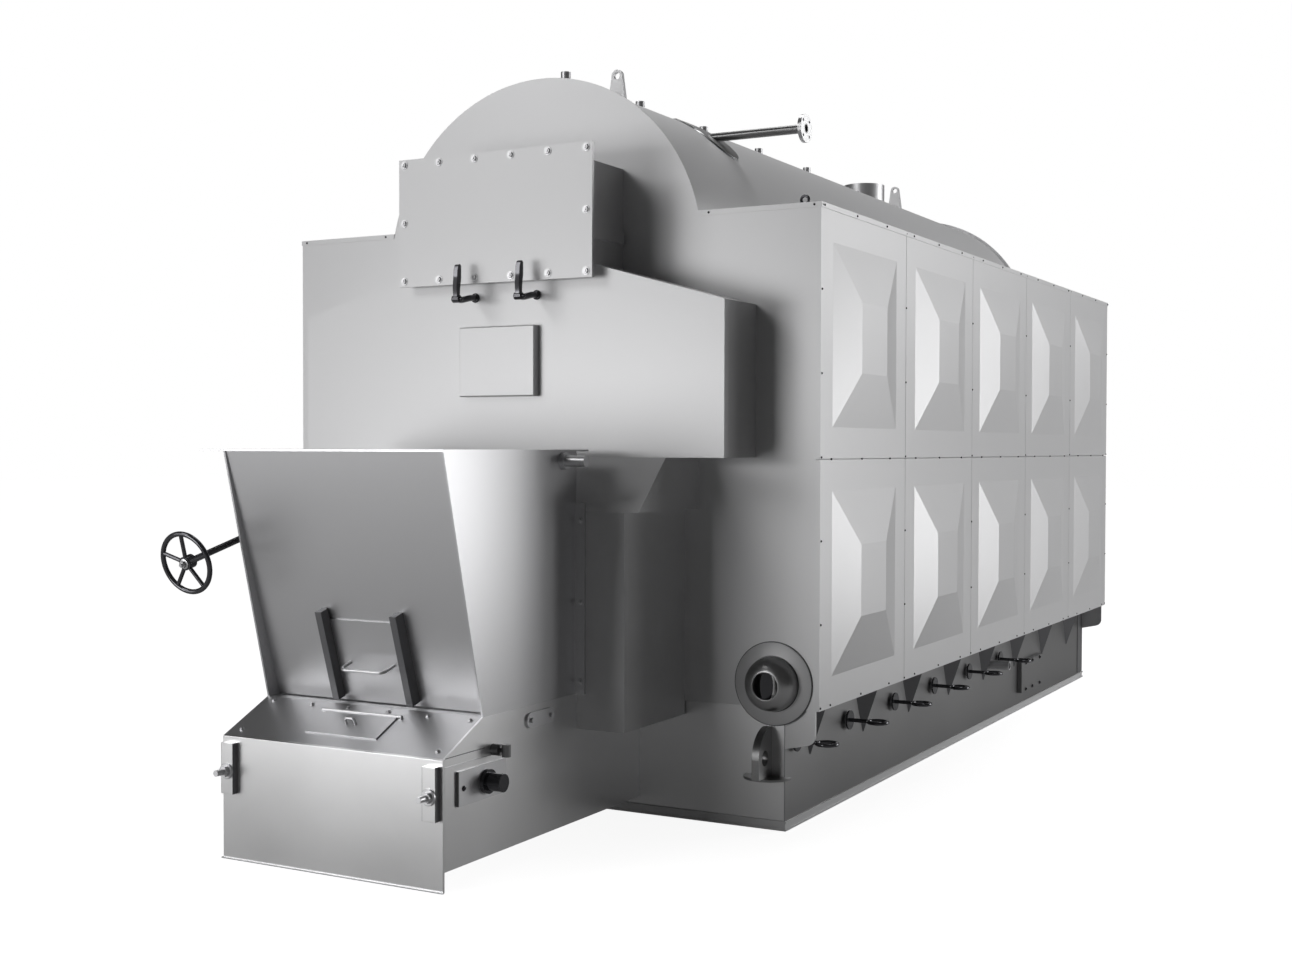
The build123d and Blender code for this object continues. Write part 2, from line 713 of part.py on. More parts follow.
def slide_gate():
    """The sliding plate with its pull handle."""
    low = up_front(GATE_BOTTOM)
    high = up_front(GATE_TOP)
    half = GATE_WIDTH / 2
    face = GATE_PLAY + GATE_THICKNESS
    plate = block(-half, half, low, high, GATE_PLAY, face)
    grip = HANDLE_WIDTH / 2
    at = up_front(HANDLE_AT)
    reach = GATE_PLAY + HANDLE_REACH
    corners = [(-grip, at, face), (-grip, at, reach), (grip, at, reach), (grip, at, face)]
    section = Plane(origin=corners[0], z_dir=(0, 0, 1)) * Circle(HANDLE_BAR)
    handle = sweep(section, path=FilletPolyline(*corners, radius=HANDLE_BEND))
    return on_front(plate + handle)


def wheel_place(shape):
    """Place a shape drawn with the handwheel's axis along Z and the rod pointing to +Z."""
    plane = Plane(origin=WHEEL_AT, x_dir=(1, 0, 0), z_dir=(0, cos(radians(WHEEL_TILT)), sin(radians(WHEEL_TILT))))
    return plane.location * shape


def handwheel():
    """The spoked handwheel with its hub and rod."""
    wheel = Torus(WHEEL_RADIUS, WHEEL_RIM)
    wheel += Pos(0, 0, WHEEL_HUB_LENGTH / 4) * Cylinder(WHEEL_HUB_RADIUS, WHEEL_HUB_LENGTH)
    for number in range(WHEEL_SPOKES):
        spoke = Pos(WHEEL_RADIUS / 2, 0, 0) * Rot(0, 90, 0) * Cylinder(WHEEL_SPOKE_RADIUS, WHEEL_RADIUS)
        wheel += Rot(0, 0, 360 / WHEEL_SPOKES * number - 90) * spoke
    wheel += Pos(0, 0, ROD_LENGTH / 2) * Cylinder(ROD_RADIUS, ROD_LENGTH)
    return wheel_place(wheel)


def wheel_bearing():
    """The bearing for the rod, carried off the hopper's left side plate."""
    middle = BEARING_AT + BEARING_LENGTH / 2
    sleeve = Pos(0, 0, middle) * Cylinder(BEARING_RADIUS, BEARING_LENGTH)
    reach = -HALF_HOPPER - WHEEL_AT[0]
    arm = Pos(reach / 2, 0, middle) * Box(reach, 2 * BEARING_RADIUS - 16, BEARING_LENGTH)
    bore = Pos(0, 0, middle) * Cylinder(ROD_RADIUS + ROD_PLAY, BEARING_LENGTH + 2)
    return wheel_place(sleeve + arm - bore)


# The grate box's sloping top plate, seen from the side
SLOPE_RISE = HOPPER_BOTTOM - BOX_FRONT_HEIGHT
SLOPE_RUN = HOPPER_SIDE_FOOT + BOX_LENGTH
SLOPE_LONG = hypot(SLOPE_RISE, SLOPE_RUN)


def on_slope(shape):
    """Place a shape drawn flat on the sloping top plate.

    In the drawing X is across, Y is up the slope from the front plate and Z is out of the plate.
    """
    plane = Plane(
        origin=(0, -BOX_LENGTH, BOX_FRONT_HEIGHT),
        x_dir=(1, 0, 0),
        z_dir=(0, -SLOPE_RISE, SLOPE_RUN),
    )
    return plane.location * shape


def box_front():
    """The grate box's front plate, which reaches the floor."""
    back = -BOX_LENGTH + BOX_FRONT_PLATE
    rise = BOX_FRONT_PLATE * SLOPE_RISE / SLOPE_RUN
    points = [
        (-BOX_LENGTH, 0),
        (-BOX_LENGTH, BOX_FRONT_HEIGHT),
        (back, BOX_FRONT_HEIGHT + rise),
        (back, 0),
    ]
    return across(points, -HALF_HOPPER, HALF_HOPPER)


def box_side():
    """The right side plate of the grate box."""
    front = -BOX_LENGTH + BOX_FRONT_PLATE
    rise = BOX_FRONT_PLATE * SLOPE_RISE / SLOPE_RUN
    points = [
        (front, BOX_UNDERSIDE),
        (front, BOX_FRONT_HEIGHT + rise),
        (HOPPER_SIDE_FOOT, HOPPER_BOTTOM),
        (0, HOPPER_BOTTOM),
        (0, CASING_BOTTOM),
        (LOWER_SETBACK, CASING_BOTTOM),
        (LOWER_SETBACK, BOX_UNDERSIDE),
    ]
    plate = across(points, HALF_HOPPER - PLATE, HALF_HOPPER)
    return plate - along_x(0, HOPPER_WIDTH, GRATE_SHAFT_RADIUS, GRATE_SHAFT_AT, GRATE_SHAFT_HEIGHT)


def box_top():
    """The sloping top plate with the hatchway, and the deck under the hopper."""
    half = HALF_HOPPER - PLATE
    slope = on_slope(block(-half, half, 0, SLOPE_LONG + PLATE, -PLATE, 0))
    front = -BOX_LENGTH + BOX_FRONT_PLATE
    slope &= block(-half, half, front, HOPPER_SIDE_FOOT, 0, HOPPER_BOTTOM + 1)
    deck = block(-half, half, HOPPER_SIDE_FOOT, 0, HOPPER_BOTTOM - PLATE, HOPPER_BOTTOM)
    way = HATCH_WIDTH / 2 - HATCH_LAP
    hatchway = block(-way, way, HATCH_FRONT + HATCH_LAP, HATCH_BACK - HATCH_LAP, -PLATE - 1, 1)
    top = (slope - on_slope(hatchway)) + deck
    for ear in both_sides(on_slope(hatch_ear())):
        top += ear
    return top


def hatch_ear():
    """The right ear that holds the lid's hinge pin, drawn flat on the slope."""
    x0 = HATCH_WIDTH / 2 + 1
    x1 = x0 + HATCH_EAR
    axis = SEAT + HATCH_BARREL
    ear = block(x0, x1, HATCH_BACK - HATCH_BARREL, HATCH_BACK + HATCH_BARREL, -PLATE / 2, axis)
    ear += along_x(x0, x1, HATCH_BARREL, HATCH_BACK, axis)
    return ear - along_x(x0 - 1, x1 + 1, HATCH_PIN + HATCH_PIN_PLAY, HATCH_BACK, axis)


def hatch_lid():
    """The lid with its hinge barrel and its latch handle."""
    half = HATCH_WIDTH / 2
    face = SEAT + HATCH_THICKNESS
    axis = SEAT + HATCH_BARREL
    lid = block(-half, half, HATCH_FRONT, HATCH_BACK, SEAT, face)
    lid += along_x(-half, half, HATCH_BARREL, HATCH_BACK, axis)
    pin = half + HATCH_EAR
    lid += along_x(-pin, pin, HATCH_PIN, HATCH_BACK, axis)
    middle = (HATCH_FRONT + HATCH_BACK) / 2
    grip = LATCH_WIDTH / 2
    top = face + LATCH_RISE
    corners = [(-grip, middle, face), (-grip, middle, top), (grip, middle, top), (grip, middle, face)]
    section = Plane(origin=corners[0], z_dir=(0, 0, 1)) * Circle(LATCH_BAR)
    return on_slope(lid + sweep(section, path=FilletPolyline(*corners, radius=2 * LATCH_BAR)))


def tension_block():
    """The proud block that the tension screw bears on."""
    outer = BLOCK_INSIDE + BLOCK_WIDTH
    return block(BLOCK_INSIDE, outer, -BOX_LENGTH - BLOCK_PROUD, -BOX_LENGTH, BLOCK_BOTTOM, BLOCK_TOP)


def tension_screw():
    """The screw end with its washer and nut."""
    x = BLOCK_INSIDE + BLOCK_WIDTH / 2
    face = -BOX_LENGTH - BLOCK_PROUD
    screw = along_y(face - SCREW_OUT, face, SCREW_RADIUS, x, SCREW_HEIGHT)
    screw += along_y(face - WASHER_THICKNESS, face, WASHER_RADIUS, x, SCREW_HEIGHT)
    nut = extrude(Plane.XZ * RegularPolygon(NUT_RADIUS, 6), amount=NUT_THICKNESS)
    return screw + Pos(x, face - WASHER_THICKNESS, SCREW_HEIGHT) * nut


def bearing_plate():
    """The sliding bearing plate on the grate box's side."""
    shape = block(
        HALF_HOPPER,
        HALF_HOPPER + BEARING_PLATE,
        BEARING_PLATE_BACK - BOX_LENGTH,
        BEARING_PLATE_BACK - BOX_LENGTH + BEARING_PLATE_LENGTH,
        BEARING_PLATE_BOTTOM,
        BEARING_PLATE_TOP,
    )
    return shape - along_x(0, HOPPER_WIDTH, GRATE_SHAFT_RADIUS, GRATE_SHAFT_AT, GRATE_SHAFT_HEIGHT)


def grate_shaft():
    """The front shaft of the chain grate with a collar at each bearing plate."""
    reach = HALF_HOPPER + GRATE_SHAFT_OUT
    shaft = along_x(-reach, reach, GRATE_SHAFT_RADIUS, GRATE_SHAFT_AT, GRATE_SHAFT_HEIGHT)
    inner = HALF_HOPPER + BEARING_PLATE
    collar = along_x(inner, inner + COLLAR_LENGTH, COLLAR_RADIUS, GRATE_SHAFT_AT, GRATE_SHAFT_HEIGHT)
    for piece in both_sides(collar):
        shaft += piece
    return shaft


def grease_cup():
    """The grease cup that stands off the right side on a short neck."""
    y = GREASE_BACK - BOX_LENGTH
    boss_end = HALF_HOPPER + GREASE_BODY_OUT
    cup_x = boss_end + GREASE_NECK_OUT
    cup = along_x(HALF_HOPPER, boss_end, GREASE_BODY_RADIUS, y, GREASE_HEIGHT)
    cup += along_x(boss_end, cup_x, GREASE_NECK_RADIUS, y, GREASE_HEIGHT)
    half = GREASE_CUP_HEIGHT / 2
    return cup + upright(GREASE_HEIGHT - half, GREASE_HEIGHT + half, GREASE_CUP_RADIUS, cup_x, y)


def link_plate():
    """The oblong pinned plate on the grate box's side."""
    slot = Plane.YZ.offset(HALF_HOPPER) * Pos(LINK_PLATE_AT, LINK_PLATE_HEIGHT)
    plate = extrude(slot * SlotOverall(LINK_PLATE_LENGTH, LINK_PLATE_WIDTH), amount=LINK_PLATE_THICKNESS)
    face = HALF_HOPPER + LINK_PLATE_THICKNESS
    reach = (LINK_PLATE_LENGTH - LINK_PLATE_WIDTH) / 2
    for side in (-1, 1):
        plate += along_x(face, face + LINK_PIN_OUT, LINK_PIN_RADIUS, LINK_PLATE_AT + side * reach, LINK_PLATE_HEIGHT)
    return plate


def air_port():
    """A domed port with an open mouth on a round flange, turned about its own axis."""
    outer = PORT_DOME_DEPTH
    wall = PORT_WALL
    with BuildSketch(Plane.XZ) as half_section:
        with BuildLine():
            start = (PORT_DOME_RADIUS - wall, 0)
            Polyline(start, (PORT_FLANGE_RADIUS, 0), (PORT_FLANGE_RADIUS, PORT_FLANGE_THICKNESS),
                     (PORT_DOME_RADIUS, PORT_FLANGE_THICKNESS))
            Spline((PORT_DOME_RADIUS, PORT_FLANGE_THICKNESS), (PORT_MOUTH_RADIUS + wall, outer),
                   tangents=((0, 1), (-1, 0.25)))
            Polyline((PORT_MOUTH_RADIUS + wall, outer), (PORT_MOUTH_RADIUS, outer))
            Spline((PORT_MOUTH_RADIUS, outer), start, tangents=((1, -0.25), (0, -1)))
        make_face()
    shell = revolve(half_section.sketch, Axis.Z)
    return Pos(PORT_X, 0, PORT_HEIGHT) * Rot(90, 0, 0) * shell


def port_vane():
    """The upright vane in the port's mouth."""
    depth = PORT_DOME_DEPTH - PORT_WALL
    half = PORT_MOUTH_RADIUS - 1
    return block(PORT_X - 3, PORT_X + 3, -depth, 0, PORT_HEIGHT - half, PORT_HEIGHT + half)


def eye_lug():
    """An upright eye plate on a half-round shelf."""
    x0 = EYE_LUG_X - EYE_LUG_THICKNESS / 2
    x1 = EYE_LUG_X + EYE_LUG_THICKNESS / 2
    back = LOWER_SETBACK
    round_z = EYE_LUG_TOP - EYE_LUG_REACH
    plate = block(x0, x1, -EYE_LUG_REACH, back, EYE_LUG_BOTTOM, round_z)
    plate += along_x(x0, x1, EYE_LUG_REACH, 0, round_z) & block(x0, x1, -EYE_LUG_REACH, back, round_z, EYE_LUG_TOP)
    plate -= along_x(x0 - 1, x1 + 1, EYE_LUG_HOLE, -EYE_LUG_REACH / 2, round_z)
    shelf = upright(EYE_LUG_BOTTOM - EYE_SHELF_THICKNESS, EYE_LUG_BOTTOM, EYE_SHELF_RADIUS, EYE_LUG_X, back)
    keep = block(x0 - EYE_SHELF_RADIUS, x1 + EYE_SHELF_RADIUS, -EYE_SHELF_RADIUS - 1, back, 0, EYE_LUG_TOP)
    return plate + (shelf & keep)


def damper_y(number):
    """Place of one damper along the boiler."""
    return DAMPER_FIRST + number * DAMPER_SPACING


def damper_boss(number):
    """The fixed boss that carries a damper's spindle."""
    outer = HALF_LOWER + DAMPER_BOSS_LENGTH
    boss = along_x(HALF_LOWER, outer, DAMPER_BOSS_RADIUS, damper_y(number), DAMPER_HEIGHT)
    return boss - along_x(HALF_LOWER, outer, DAMPER_ROD_RADIUS + ROD_PLAY, damper_y(number), DAMPER_HEIGHT)


def damper_handle(number):
    """The disc, rod and ring that turn one damper."""
    y = damper_y(number)
    disc_at = HALF_LOWER + DAMPER_BOSS_LENGTH + SEAT
    rod_at = disc_at + DAMPER_DISC_THICKNESS
    ring_at = rod_at + DAMPER_ROD_LENGTH
    handle = along_x(disc_at, rod_at, DAMPER_DISC_RADIUS, y, DAMPER_HEIGHT)
    spindle_end = HALF_LOWER + SEAT
    handle += along_x(spindle_end, ring_at + DAMPER_RING_BAR, DAMPER_ROD_RADIUS, y, DAMPER_HEIGHT)
    middle = ring_at + DAMPER_RING_BAR + DAMPER_RING_RADIUS
    return handle + Pos(middle, y, DAMPER_HEIGHT) * Torus(DAMPER_RING_RADIUS, DAMPER_RING_BAR)


def side_plate():
    """The bolted clean-out plate low on the right side."""
    outer = HALF_LOWER + SIDE_PLATE_PROUD
    back = SIDE_PLATE_AT + SIDE_PLATE_LENGTH
    return block(HALF_LOWER, outer, SIDE_PLATE_AT, back, SIDE_PLATE_BOTTOM, SIDE_PLATE_TOP)


def drain_stub():
    """The blow-down pipe stub on the right side."""
    end = HALF_LOWER + DRAIN_OUT
    stub = along_x(HALF_LOWER, end, DRAIN_RADIUS, DRAIN_AT, DRAIN_HEIGHT)
    return stub - along_x(end - DRAIN_OUT / 2, end, DRAIN_BORE, DRAIN_AT, DRAIN_HEIGHT)


def flue_outlet():
    """The flanged gas outlet on the rear wall."""
    half = FLUE_WIDTH / 2
    tall = FLUE_HEIGHT / 2
    z = FLUE_CENTRE_HEIGHT
    end = LENGTH + FLUE_OUT
    duct = block(-half, half, LENGTH, end, z - tall, z + tall)
    wide = half + FLUE_FLANGE
    high = tall + FLUE_FLANGE
    duct += block(-wide, wide, end - FLUE_FLANGE_THICKNESS, end, z - high, z + high)
    inner = half - FLUE_WALL
    deep = tall - FLUE_WALL
    return duct - block(-inner, inner, LENGTH, end, z - deep, z + deep)


def main():
    """Build every node and write it."""
    save("base_frame", base_frame())
    save("lower_casing", lower_casing())
    save("wing_plates", wing_plates())
    brackets = [bracket(BRACKET_FIRST + number * BRACKET_SPACING) for number in range(BRACKETS)]
    save("support_brackets", *[both_sides(item) for item in brackets])
    save("casing_core", casing_core())
    save("front_wall", end_wall(0))
    save("rear_wall", end_wall(LENGTH - WALL_PLATE))
    for row, low, high in (("lower", CASING_BOTTOM, ROW_SEAM_HEIGHT - PANEL_GAP / 2),
                           ("upper", ROW_SEAM_HEIGHT + PANEL_GAP / 2, DECK_UNDERSIDE)):
        save(f"{row}_side_panels", *[both_sides(side_panel(bay, low, high)) for bay in range(BAYS)])
    save("top_decks", both_sides(top_deck()))
    save("drum_jacket", drum_jacket())
    save("drum_sockets", drum_sockets())
    save("main_nozzle", main_nozzle())
    save("lifting_lugs", [lifting_lug(y) for y in LUG_PLACES])
    save("steam_outlet", steam_pad() + steam_pipe())
    save("deck_eye", deck_eye())
    save("front_cover", front_cover())
    save("door_neck", door_neck())
    save("door_plate", door_plate())
    save("door_clamps", [door_clamp(x) for x in CLAMP_PLACES])
    save("hand_cover", hand_cover())
    save("hood", hood())
    save("throat_box", throat_box())
    save("hopper_front", hopper_front())
    save("hopper_sides", both_sides(hopper_side() + hopper_flange()))
    save("hopper_back", hopper_back())
    save("hopper_rim", hopper_rim())
    save("gate_shaft", gate_shaft())
    save("slide_guides", both_sides(slide_guide()))
    save("slide_gate", slide_gate())
    save("handwheel", handwheel())
    save("wheel_bearing", wheel_bearing())
    save("grate_box_front", box_front())
    save("grate_box_sides", both_sides(box_side()))
    save("grate_box_top", box_top())
    save("hatch_lid", hatch_lid())
    save("tension_blocks", both_sides(tension_block()))
    save("tension_screws", both_sides(tension_screw()))
    save("bearing_plates", both_sides(bearing_plate()))
    save("grate_shaft", grate_shaft())
    save("grease_cups", both_sides(grease_cup()))
    save("link_plates", both_sides(link_plate()))
    save("air_ports", both_sides(air_port() + port_vane()))
    save("eye_lugs", both_sides(eye_lug()))
    save("damper_bosses", *[both_sides(damper_boss(number)) for number in range(DAMPERS)])
    for number in range(DAMPERS):
        right, left = both_sides(damper_handle(number))
        save(f"damper_handle_right_{number + 1}", right)
        save(f"damper_handle_left_{number + 1}", left)
    save("side_plates", both_sides(side_plate()))
    save("drain_stub", drain_stub())
    save("flue_outlet", flue_outlet())


main()
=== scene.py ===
"""The looks of a packaged chain-grate boiler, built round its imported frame."""

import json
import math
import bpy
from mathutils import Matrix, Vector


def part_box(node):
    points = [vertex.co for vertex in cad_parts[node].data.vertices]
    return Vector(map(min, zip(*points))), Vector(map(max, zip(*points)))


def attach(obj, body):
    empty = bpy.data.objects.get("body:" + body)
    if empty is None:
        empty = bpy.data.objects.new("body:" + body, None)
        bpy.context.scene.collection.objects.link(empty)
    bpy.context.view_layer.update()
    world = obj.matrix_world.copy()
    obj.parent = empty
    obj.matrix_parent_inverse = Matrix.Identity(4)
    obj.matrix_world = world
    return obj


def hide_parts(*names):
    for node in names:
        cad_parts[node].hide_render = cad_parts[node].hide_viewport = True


bl_info = {
    "name": "Chain-grate boiler",
    "version": (1, 0, 0),
    "blender": (4, 5, 0),
    "location": "3D View > Sidebar > Boiler",
    "description": "Dresses the boiler's frame with its finishes, rivets, bolts and handles",
    "category": "Object",
}

import bmesh
import bpy
from bpy.props import FloatProperty, FloatVectorProperty, PointerProperty
from mathutils import Matrix, Vector

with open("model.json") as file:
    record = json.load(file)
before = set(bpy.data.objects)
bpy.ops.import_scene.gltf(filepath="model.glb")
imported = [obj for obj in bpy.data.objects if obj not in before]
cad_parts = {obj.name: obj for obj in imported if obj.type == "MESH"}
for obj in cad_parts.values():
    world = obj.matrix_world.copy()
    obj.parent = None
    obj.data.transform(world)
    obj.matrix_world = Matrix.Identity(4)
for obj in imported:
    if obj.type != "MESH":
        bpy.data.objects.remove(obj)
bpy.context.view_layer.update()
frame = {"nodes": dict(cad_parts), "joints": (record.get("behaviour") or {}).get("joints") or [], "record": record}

# Lengths are in metres. Rectangles that face sideways are (front, back, low, high), and turned
# pieces are (radius, distance) pairs along their axis.

# The studio.
FLOOR_GREY = (0.3, 0.3, 0.3)
FLOOR_REACH = 60.0
FLOOR_MIDDLE = (0, 1.8, 0)
FLOOR_FADE = 12
FLOOR_WHITES = ((0.12, 0.90), (0.4, 1.0))
FRONT_AIM = (0.3, -0.3, 1.5)
SIDE_AIM = (1.3, 0.8, 1.5)
SENSOR_WIDTH = 36
VIEW_LIMIT = 200

# Each lamp: name, watts, bearing in degrees from +X, distance, height and size.
LAMPS = (
    ("front_left_low", 92, -125, 8.0, 0.9, 3.6),
    ("front_low", 152, -112, 8.0, 0.9, 3.6),
    ("front_middle", 16, -112, 8.0, 3.6, 3.6),
    ("front_left_middle", 20, -138, 8.0, 3.6, 3.6),
    ("front_high", 125, -125, 8.0, 6.5, 3.0),
    ("side_low", 121, 48, 8.0, 1.2, 3.0),
    ("side_near_low", 60, 35, 8.0, 1.2, 3.0),
    ("side_middle", 49, 48, 8.0, 4.2, 3.0),
    ("side_far_middle", 66, 60, 8.0, 4.2, 3.0),
    ("overhead", 356, 113, 2.8, 10.0, 5.0),
)

# The finishes.
BUMP_STRENGTH = 0.6
BEVEL_SAMPLES = 4
# Height below which the casing paint turns a little darker towards the floor.
DARKER_BELOW = 0.55
# Faces further out than this along X are the foot's long sides, which get painted shade.
SHADED_PLINTH_FACE = 1.215
STEAM_PIPE_REACH = 0.0235

# Meshes.
MERGE_DISTANCE = 1e-6
SMOOTH_ANGLE = math.radians(35)
FACING_FRONT = (math.radians(90), 0, 0)
FACING_RIGHT = (0, math.radians(90), 0)
FACING_LEFT = (0, math.radians(-90), 0)

# A bolt's washer, head and thread: sides, then radius, top radius, height and rise as shares
# of the head's own radius and height.
BOLT_PARTS = (
    (20, 1.4, 1.34, 0.22, 0.0),
    (6, 1.0, 0.93, 0.8, 0.2),
    (12, 0.52, 0.45, 0.3, 0.98),
)
RIVET_SEGMENTS = 10
RIVET_RINGS = 6

# The casing's riveted seams.
BAYS = 5
SHEET_STANDS = 0.156
DECK_FOLD = 0.006
SEAM_DROP = 0.002
SEAM_INSET = 0.012
DECK_STEP = 0.003
DECK_SEAM_START = 0.03
LONG_SEAM_START = 0.12
LONG_SEAM_STOP = 0.1
FRONT_SEAM_START = 0.86
FRONT_SEAM_STOP = 0.03

# Where the bolts sit.
DOOR_BOLT_EDGE = 0.471
DOOR_BOLT_SPACING = 0.1884
DOOR_BOLT_COLUMNS = 6
DOOR_BOLT_ROWS = (2.860, 2.345)
DOOR_BOLT_MIDDLE = 2.601
FLANGE_LIP = 0.004
FLANGE_BOLT_SIDE = 0.547
FLANGE_BOLT_ROWS = (0.650, 0.975, 1.310)
SLOPE_FOOT = (-1.458, 0.480)
SLOPE_RISE = 0.120
SLOPE_RUN = 0.253
SLOPE_BOLTS = (
    (-1.412, (-0.470, 0.470)),
    (-1.228, (-0.469, -0.273, -0.091, 0.104, 0.291, 0.484)),
)
SIDE_PLATE_BOLTS = [(y, z) for y in (3.641, 3.788, 3.961) for z in (0.121, 0.283)]
BEARING_BOLTS = ((-1.343, 0.361), (-1.092, 0.361))

# The door clamps.
CLAMP_PLACES = (-0.132, 0.187)
LEVER_WIDTH = 0.022
LEVER_OUTLINE = (
    (-0.458, 2.236), (-0.462, 2.300), (-0.455, 2.372), (-0.447, 2.393), (-0.436, 2.398),
    (-0.428, 2.390), (-0.428, 2.340), (-0.436, 2.290), (-0.438, 2.236),
)
LEVER_ROUNDING = 0.002
PIN_PLACE = (-0.447, 2.246)
PIN_HALF_LENGTH = 0.019
PIN = ((0.0145, 0), (0.016, 0.002), (0.016, 0.036), (0.0145, 0.038))
PIN_NUT = ((0.010, 0), (0.010, 0.010), (0.006, 0.012), (0.006, 0.016))
ARM_FOOT_PLACE = (-0.304, 2.262)
ARM_FOOT = ((0.021, 0), (0.021, 0.006), (0.014, 0.010))
ARM_RADIUS = 0.0140
ARM_PATH = (
    (-0.302, 2.262), (-0.335, 2.262), (-0.385, 2.250), (-0.420, 2.243), (-0.449, 2.246),
)
BAR_ROUNDNESS = 4
BAR_STEPS = 8

# The handwheel's nut.
WHEEL_HUB_HALF = 0.010
WHEEL_WASHER = ((0.020, 0), (0.020, 0.003), (0.018, 0.004))
WHEEL_NUT = ((0.014, 0.003), (0.014, 0.013), (0.012, 0.015))
WHEEL_STUD = ((0.008, 0.014), (0.008, 0.022), (0.006, 0.024))

# Hems and strips.
BOX_HALF_WIDTH = 0.525
FOOT_HEM = (-1.466, -1.458, 0.0, 0.005)
FOOT_HEM_HALF_WIDTH = 0.529
BOX_LEDGE = (-1.448, -1.10, 0.450, 0.453)
BOX_LEDGE_DEPTH = 0.0012
# The slot, the rear strip and the bearing edges are near-black strips of painted shade.
BOX_SLOT = (-1.443, -1.196, 0.4835, 0.4865)
BOX_SLOT_DEPTH = 0.0015
REAR_STRIP = (5.06, 5.19, 0.045, 0.512)
REAR_STRIP_SIDE = 1.219
REAR_STRIP_DEPTH = 0.003
BEARING_EDGE_HEIGHTS = (0.299, 0.424)
BEARING_EDGE = 0.003
BEARING_EDGE_PROUD = 0.0005

# The tension blocks.
BLOCK_WIDTH = 0.057
# Thickness of the near-black sheets of painted shade on the blocks' sides.
SHADE_SHEET_THICKNESS = 0.001
TENSION_HEIGHT = 0.350
TENSION_WASHER = ((0.030, 0), (0.031, 0.001), (0.031, 0.006), (0.029, 0.0075))
TENSION_NUT = ((0.019, 0.006), (0.021, 0.008), (0.021, 0.020), (0.019, 0.022))

# The air ports.
PORT_SIDE = 1.169
PORT_HEIGHT = 0.618
PORT_STEPS = 56
PORT_DISC = ((0.174, 0.0), (0.174, 0.007), (0.172, 0.008), (0.004, 0.008))
PORT_DOME_OUTSIDE = (
    (0.1145, 0.004), (0.1145, 0.030), (0.110, 0.052), (0.101, 0.069), (0.088, 0.081),
    (0.074, 0.088), (0.064, 0.0915), (0.059, 0.092),
)
PORT_DOME_INSIDE = (
    (0.0565, 0.0905), (0.056, 0.087), (0.070, 0.082), (0.083, 0.075), (0.096, 0.063),
    (0.104, 0.048), (0.107, 0.030), (0.106, 0.012), (0.002, 0.012),
)
# Thin near-black rings at the edges of the disc and the dome, painted shade of the gaps there.
PORT_SHADE_RINGS = (
    ((0.178, 0.0), (0.178, 0.004), (0.174, 0.005)),
    ((0.1185, 0.008), (0.1185, 0.010), (0.115, 0.0105)),
)
VANE_STEPS = 40
VANE_STANDS = 0.070
VANE_HALF_WIDTH = 0.0545
VANE_HALF_HEIGHT = 0.066
VANE_SLANT = (0.42, 0.252)
VANE_THICKNESS = 0.004


def length(name, description, default):
    """A size in metres that a user may change."""
    return FloatProperty(
        name=name, description=description, default=default, unit="LENGTH", min=0
    )


def tone(name, description, level, blue):
    """A grey that a user may change, from its level and its slightly higher blue."""
    return FloatVectorProperty(
        name=name, description=description, default=(level, level, blue),
        subtype="COLOR", size=3, min=0, max=1,
    )


def number(name, description, default, **limits):
    """A plain number that a user may change."""
    return FloatProperty(name=name, description=description, default=default, **limits)


class BoilerSizes(bpy.types.PropertyGroup):
    """Sizes of the small pieces that are added to the frame."""

    rivet_radius: length("Rivet radius", "Radius of the domed rivets on the casing", 0.0052)
    rivet_spacing: length("Rivet spacing", "Distance from rivet to rivet along a seam", 0.3467)
    trim_height: length("Trim height", "Height of the flat strip along the deck's edge", 0.022)
    bolt_radius: length("Bolt radius", "Half the width of a hexagon bolt head", 0.011)
    bolt_height: length("Bolt height", "Height of a hexagon bolt head", 0.009)


class BoilerColours(bpy.types.PropertyGroup):
    """Colours of the boiler's finishes."""

    casing: tone("Casing", "Satin paint of the casing sheets", 0.60, 0.605)
    # This darker grey is painted shade on the foot's long sides under the overhang.
    plinth: tone("Plinth", "Darker satin paint of the casing's foot", 0.27, 0.273)
    # The grate box's colour is painted light: a brighter copy of the sheet, standing in for the floor's
    # reflection.
    grate: tone("Grate box", "Brighter satin steel of the grate box", 0.86, 0.865)
    # The domes' darker grey is painted shade.
    port: tone("Air ports", "Darker satin steel of the air ports", 0.42, 0.424)
    pipe: tone("Pipe", "Dark grey steel of the steam pipe", 0.26, 0.262)
    sheet: tone("Hopper sheet", "Bare satin steel of the hopper and grate box", 0.64, 0.645)
    steel: tone("Fittings", "Bright steel of bolts and flanges", 0.60, 0.60)
    dark: tone("Dark fittings", "Blackened steel of handles and clamps", 0.19, 0.193)
    # Near-black painted shade for the brackets and the thin shade pieces.
    shade: tone("Dark paint", "Paint of the brackets", 0.016, 0.017)


class BoilerStudio(bpy.types.PropertyGroup):
    """Camera and light settings."""

    focal: number("Lens", "Focal length on a 36 mm wide sensor", 44.44, min=1)
    yaw: number("Yaw", "Turn to the left of straight ahead, in degrees", 28.651)
    pitch: number("Pitch", "Tilt above level, in degrees", -1.317)
    roll: number("Roll", "Lean to the side, in degrees", -0.120)
    place: FloatVectorProperty(
        name="Camera", description="Camera position", default=(3.8964, -6.1117, 1.6058),
        subtype="XYZ", unit="LENGTH",
    )
    key: number("Front light", "Strength of the lamps in front of the boiler", 1, min=0)
    side: number("Side light", "Strength of the lamps beside the boiler", 1, min=0)
    ambient: number("Ambient", "Strength of the even light", 0.01, min=0)
    floor_mirror: number(
        "Floor in mirrors", "Share of the floor's white that metal shows", 0.12, min=0
    )
    mirror: number("White in mirrors", "Share of the white that metal shows", 0.04, min=0)


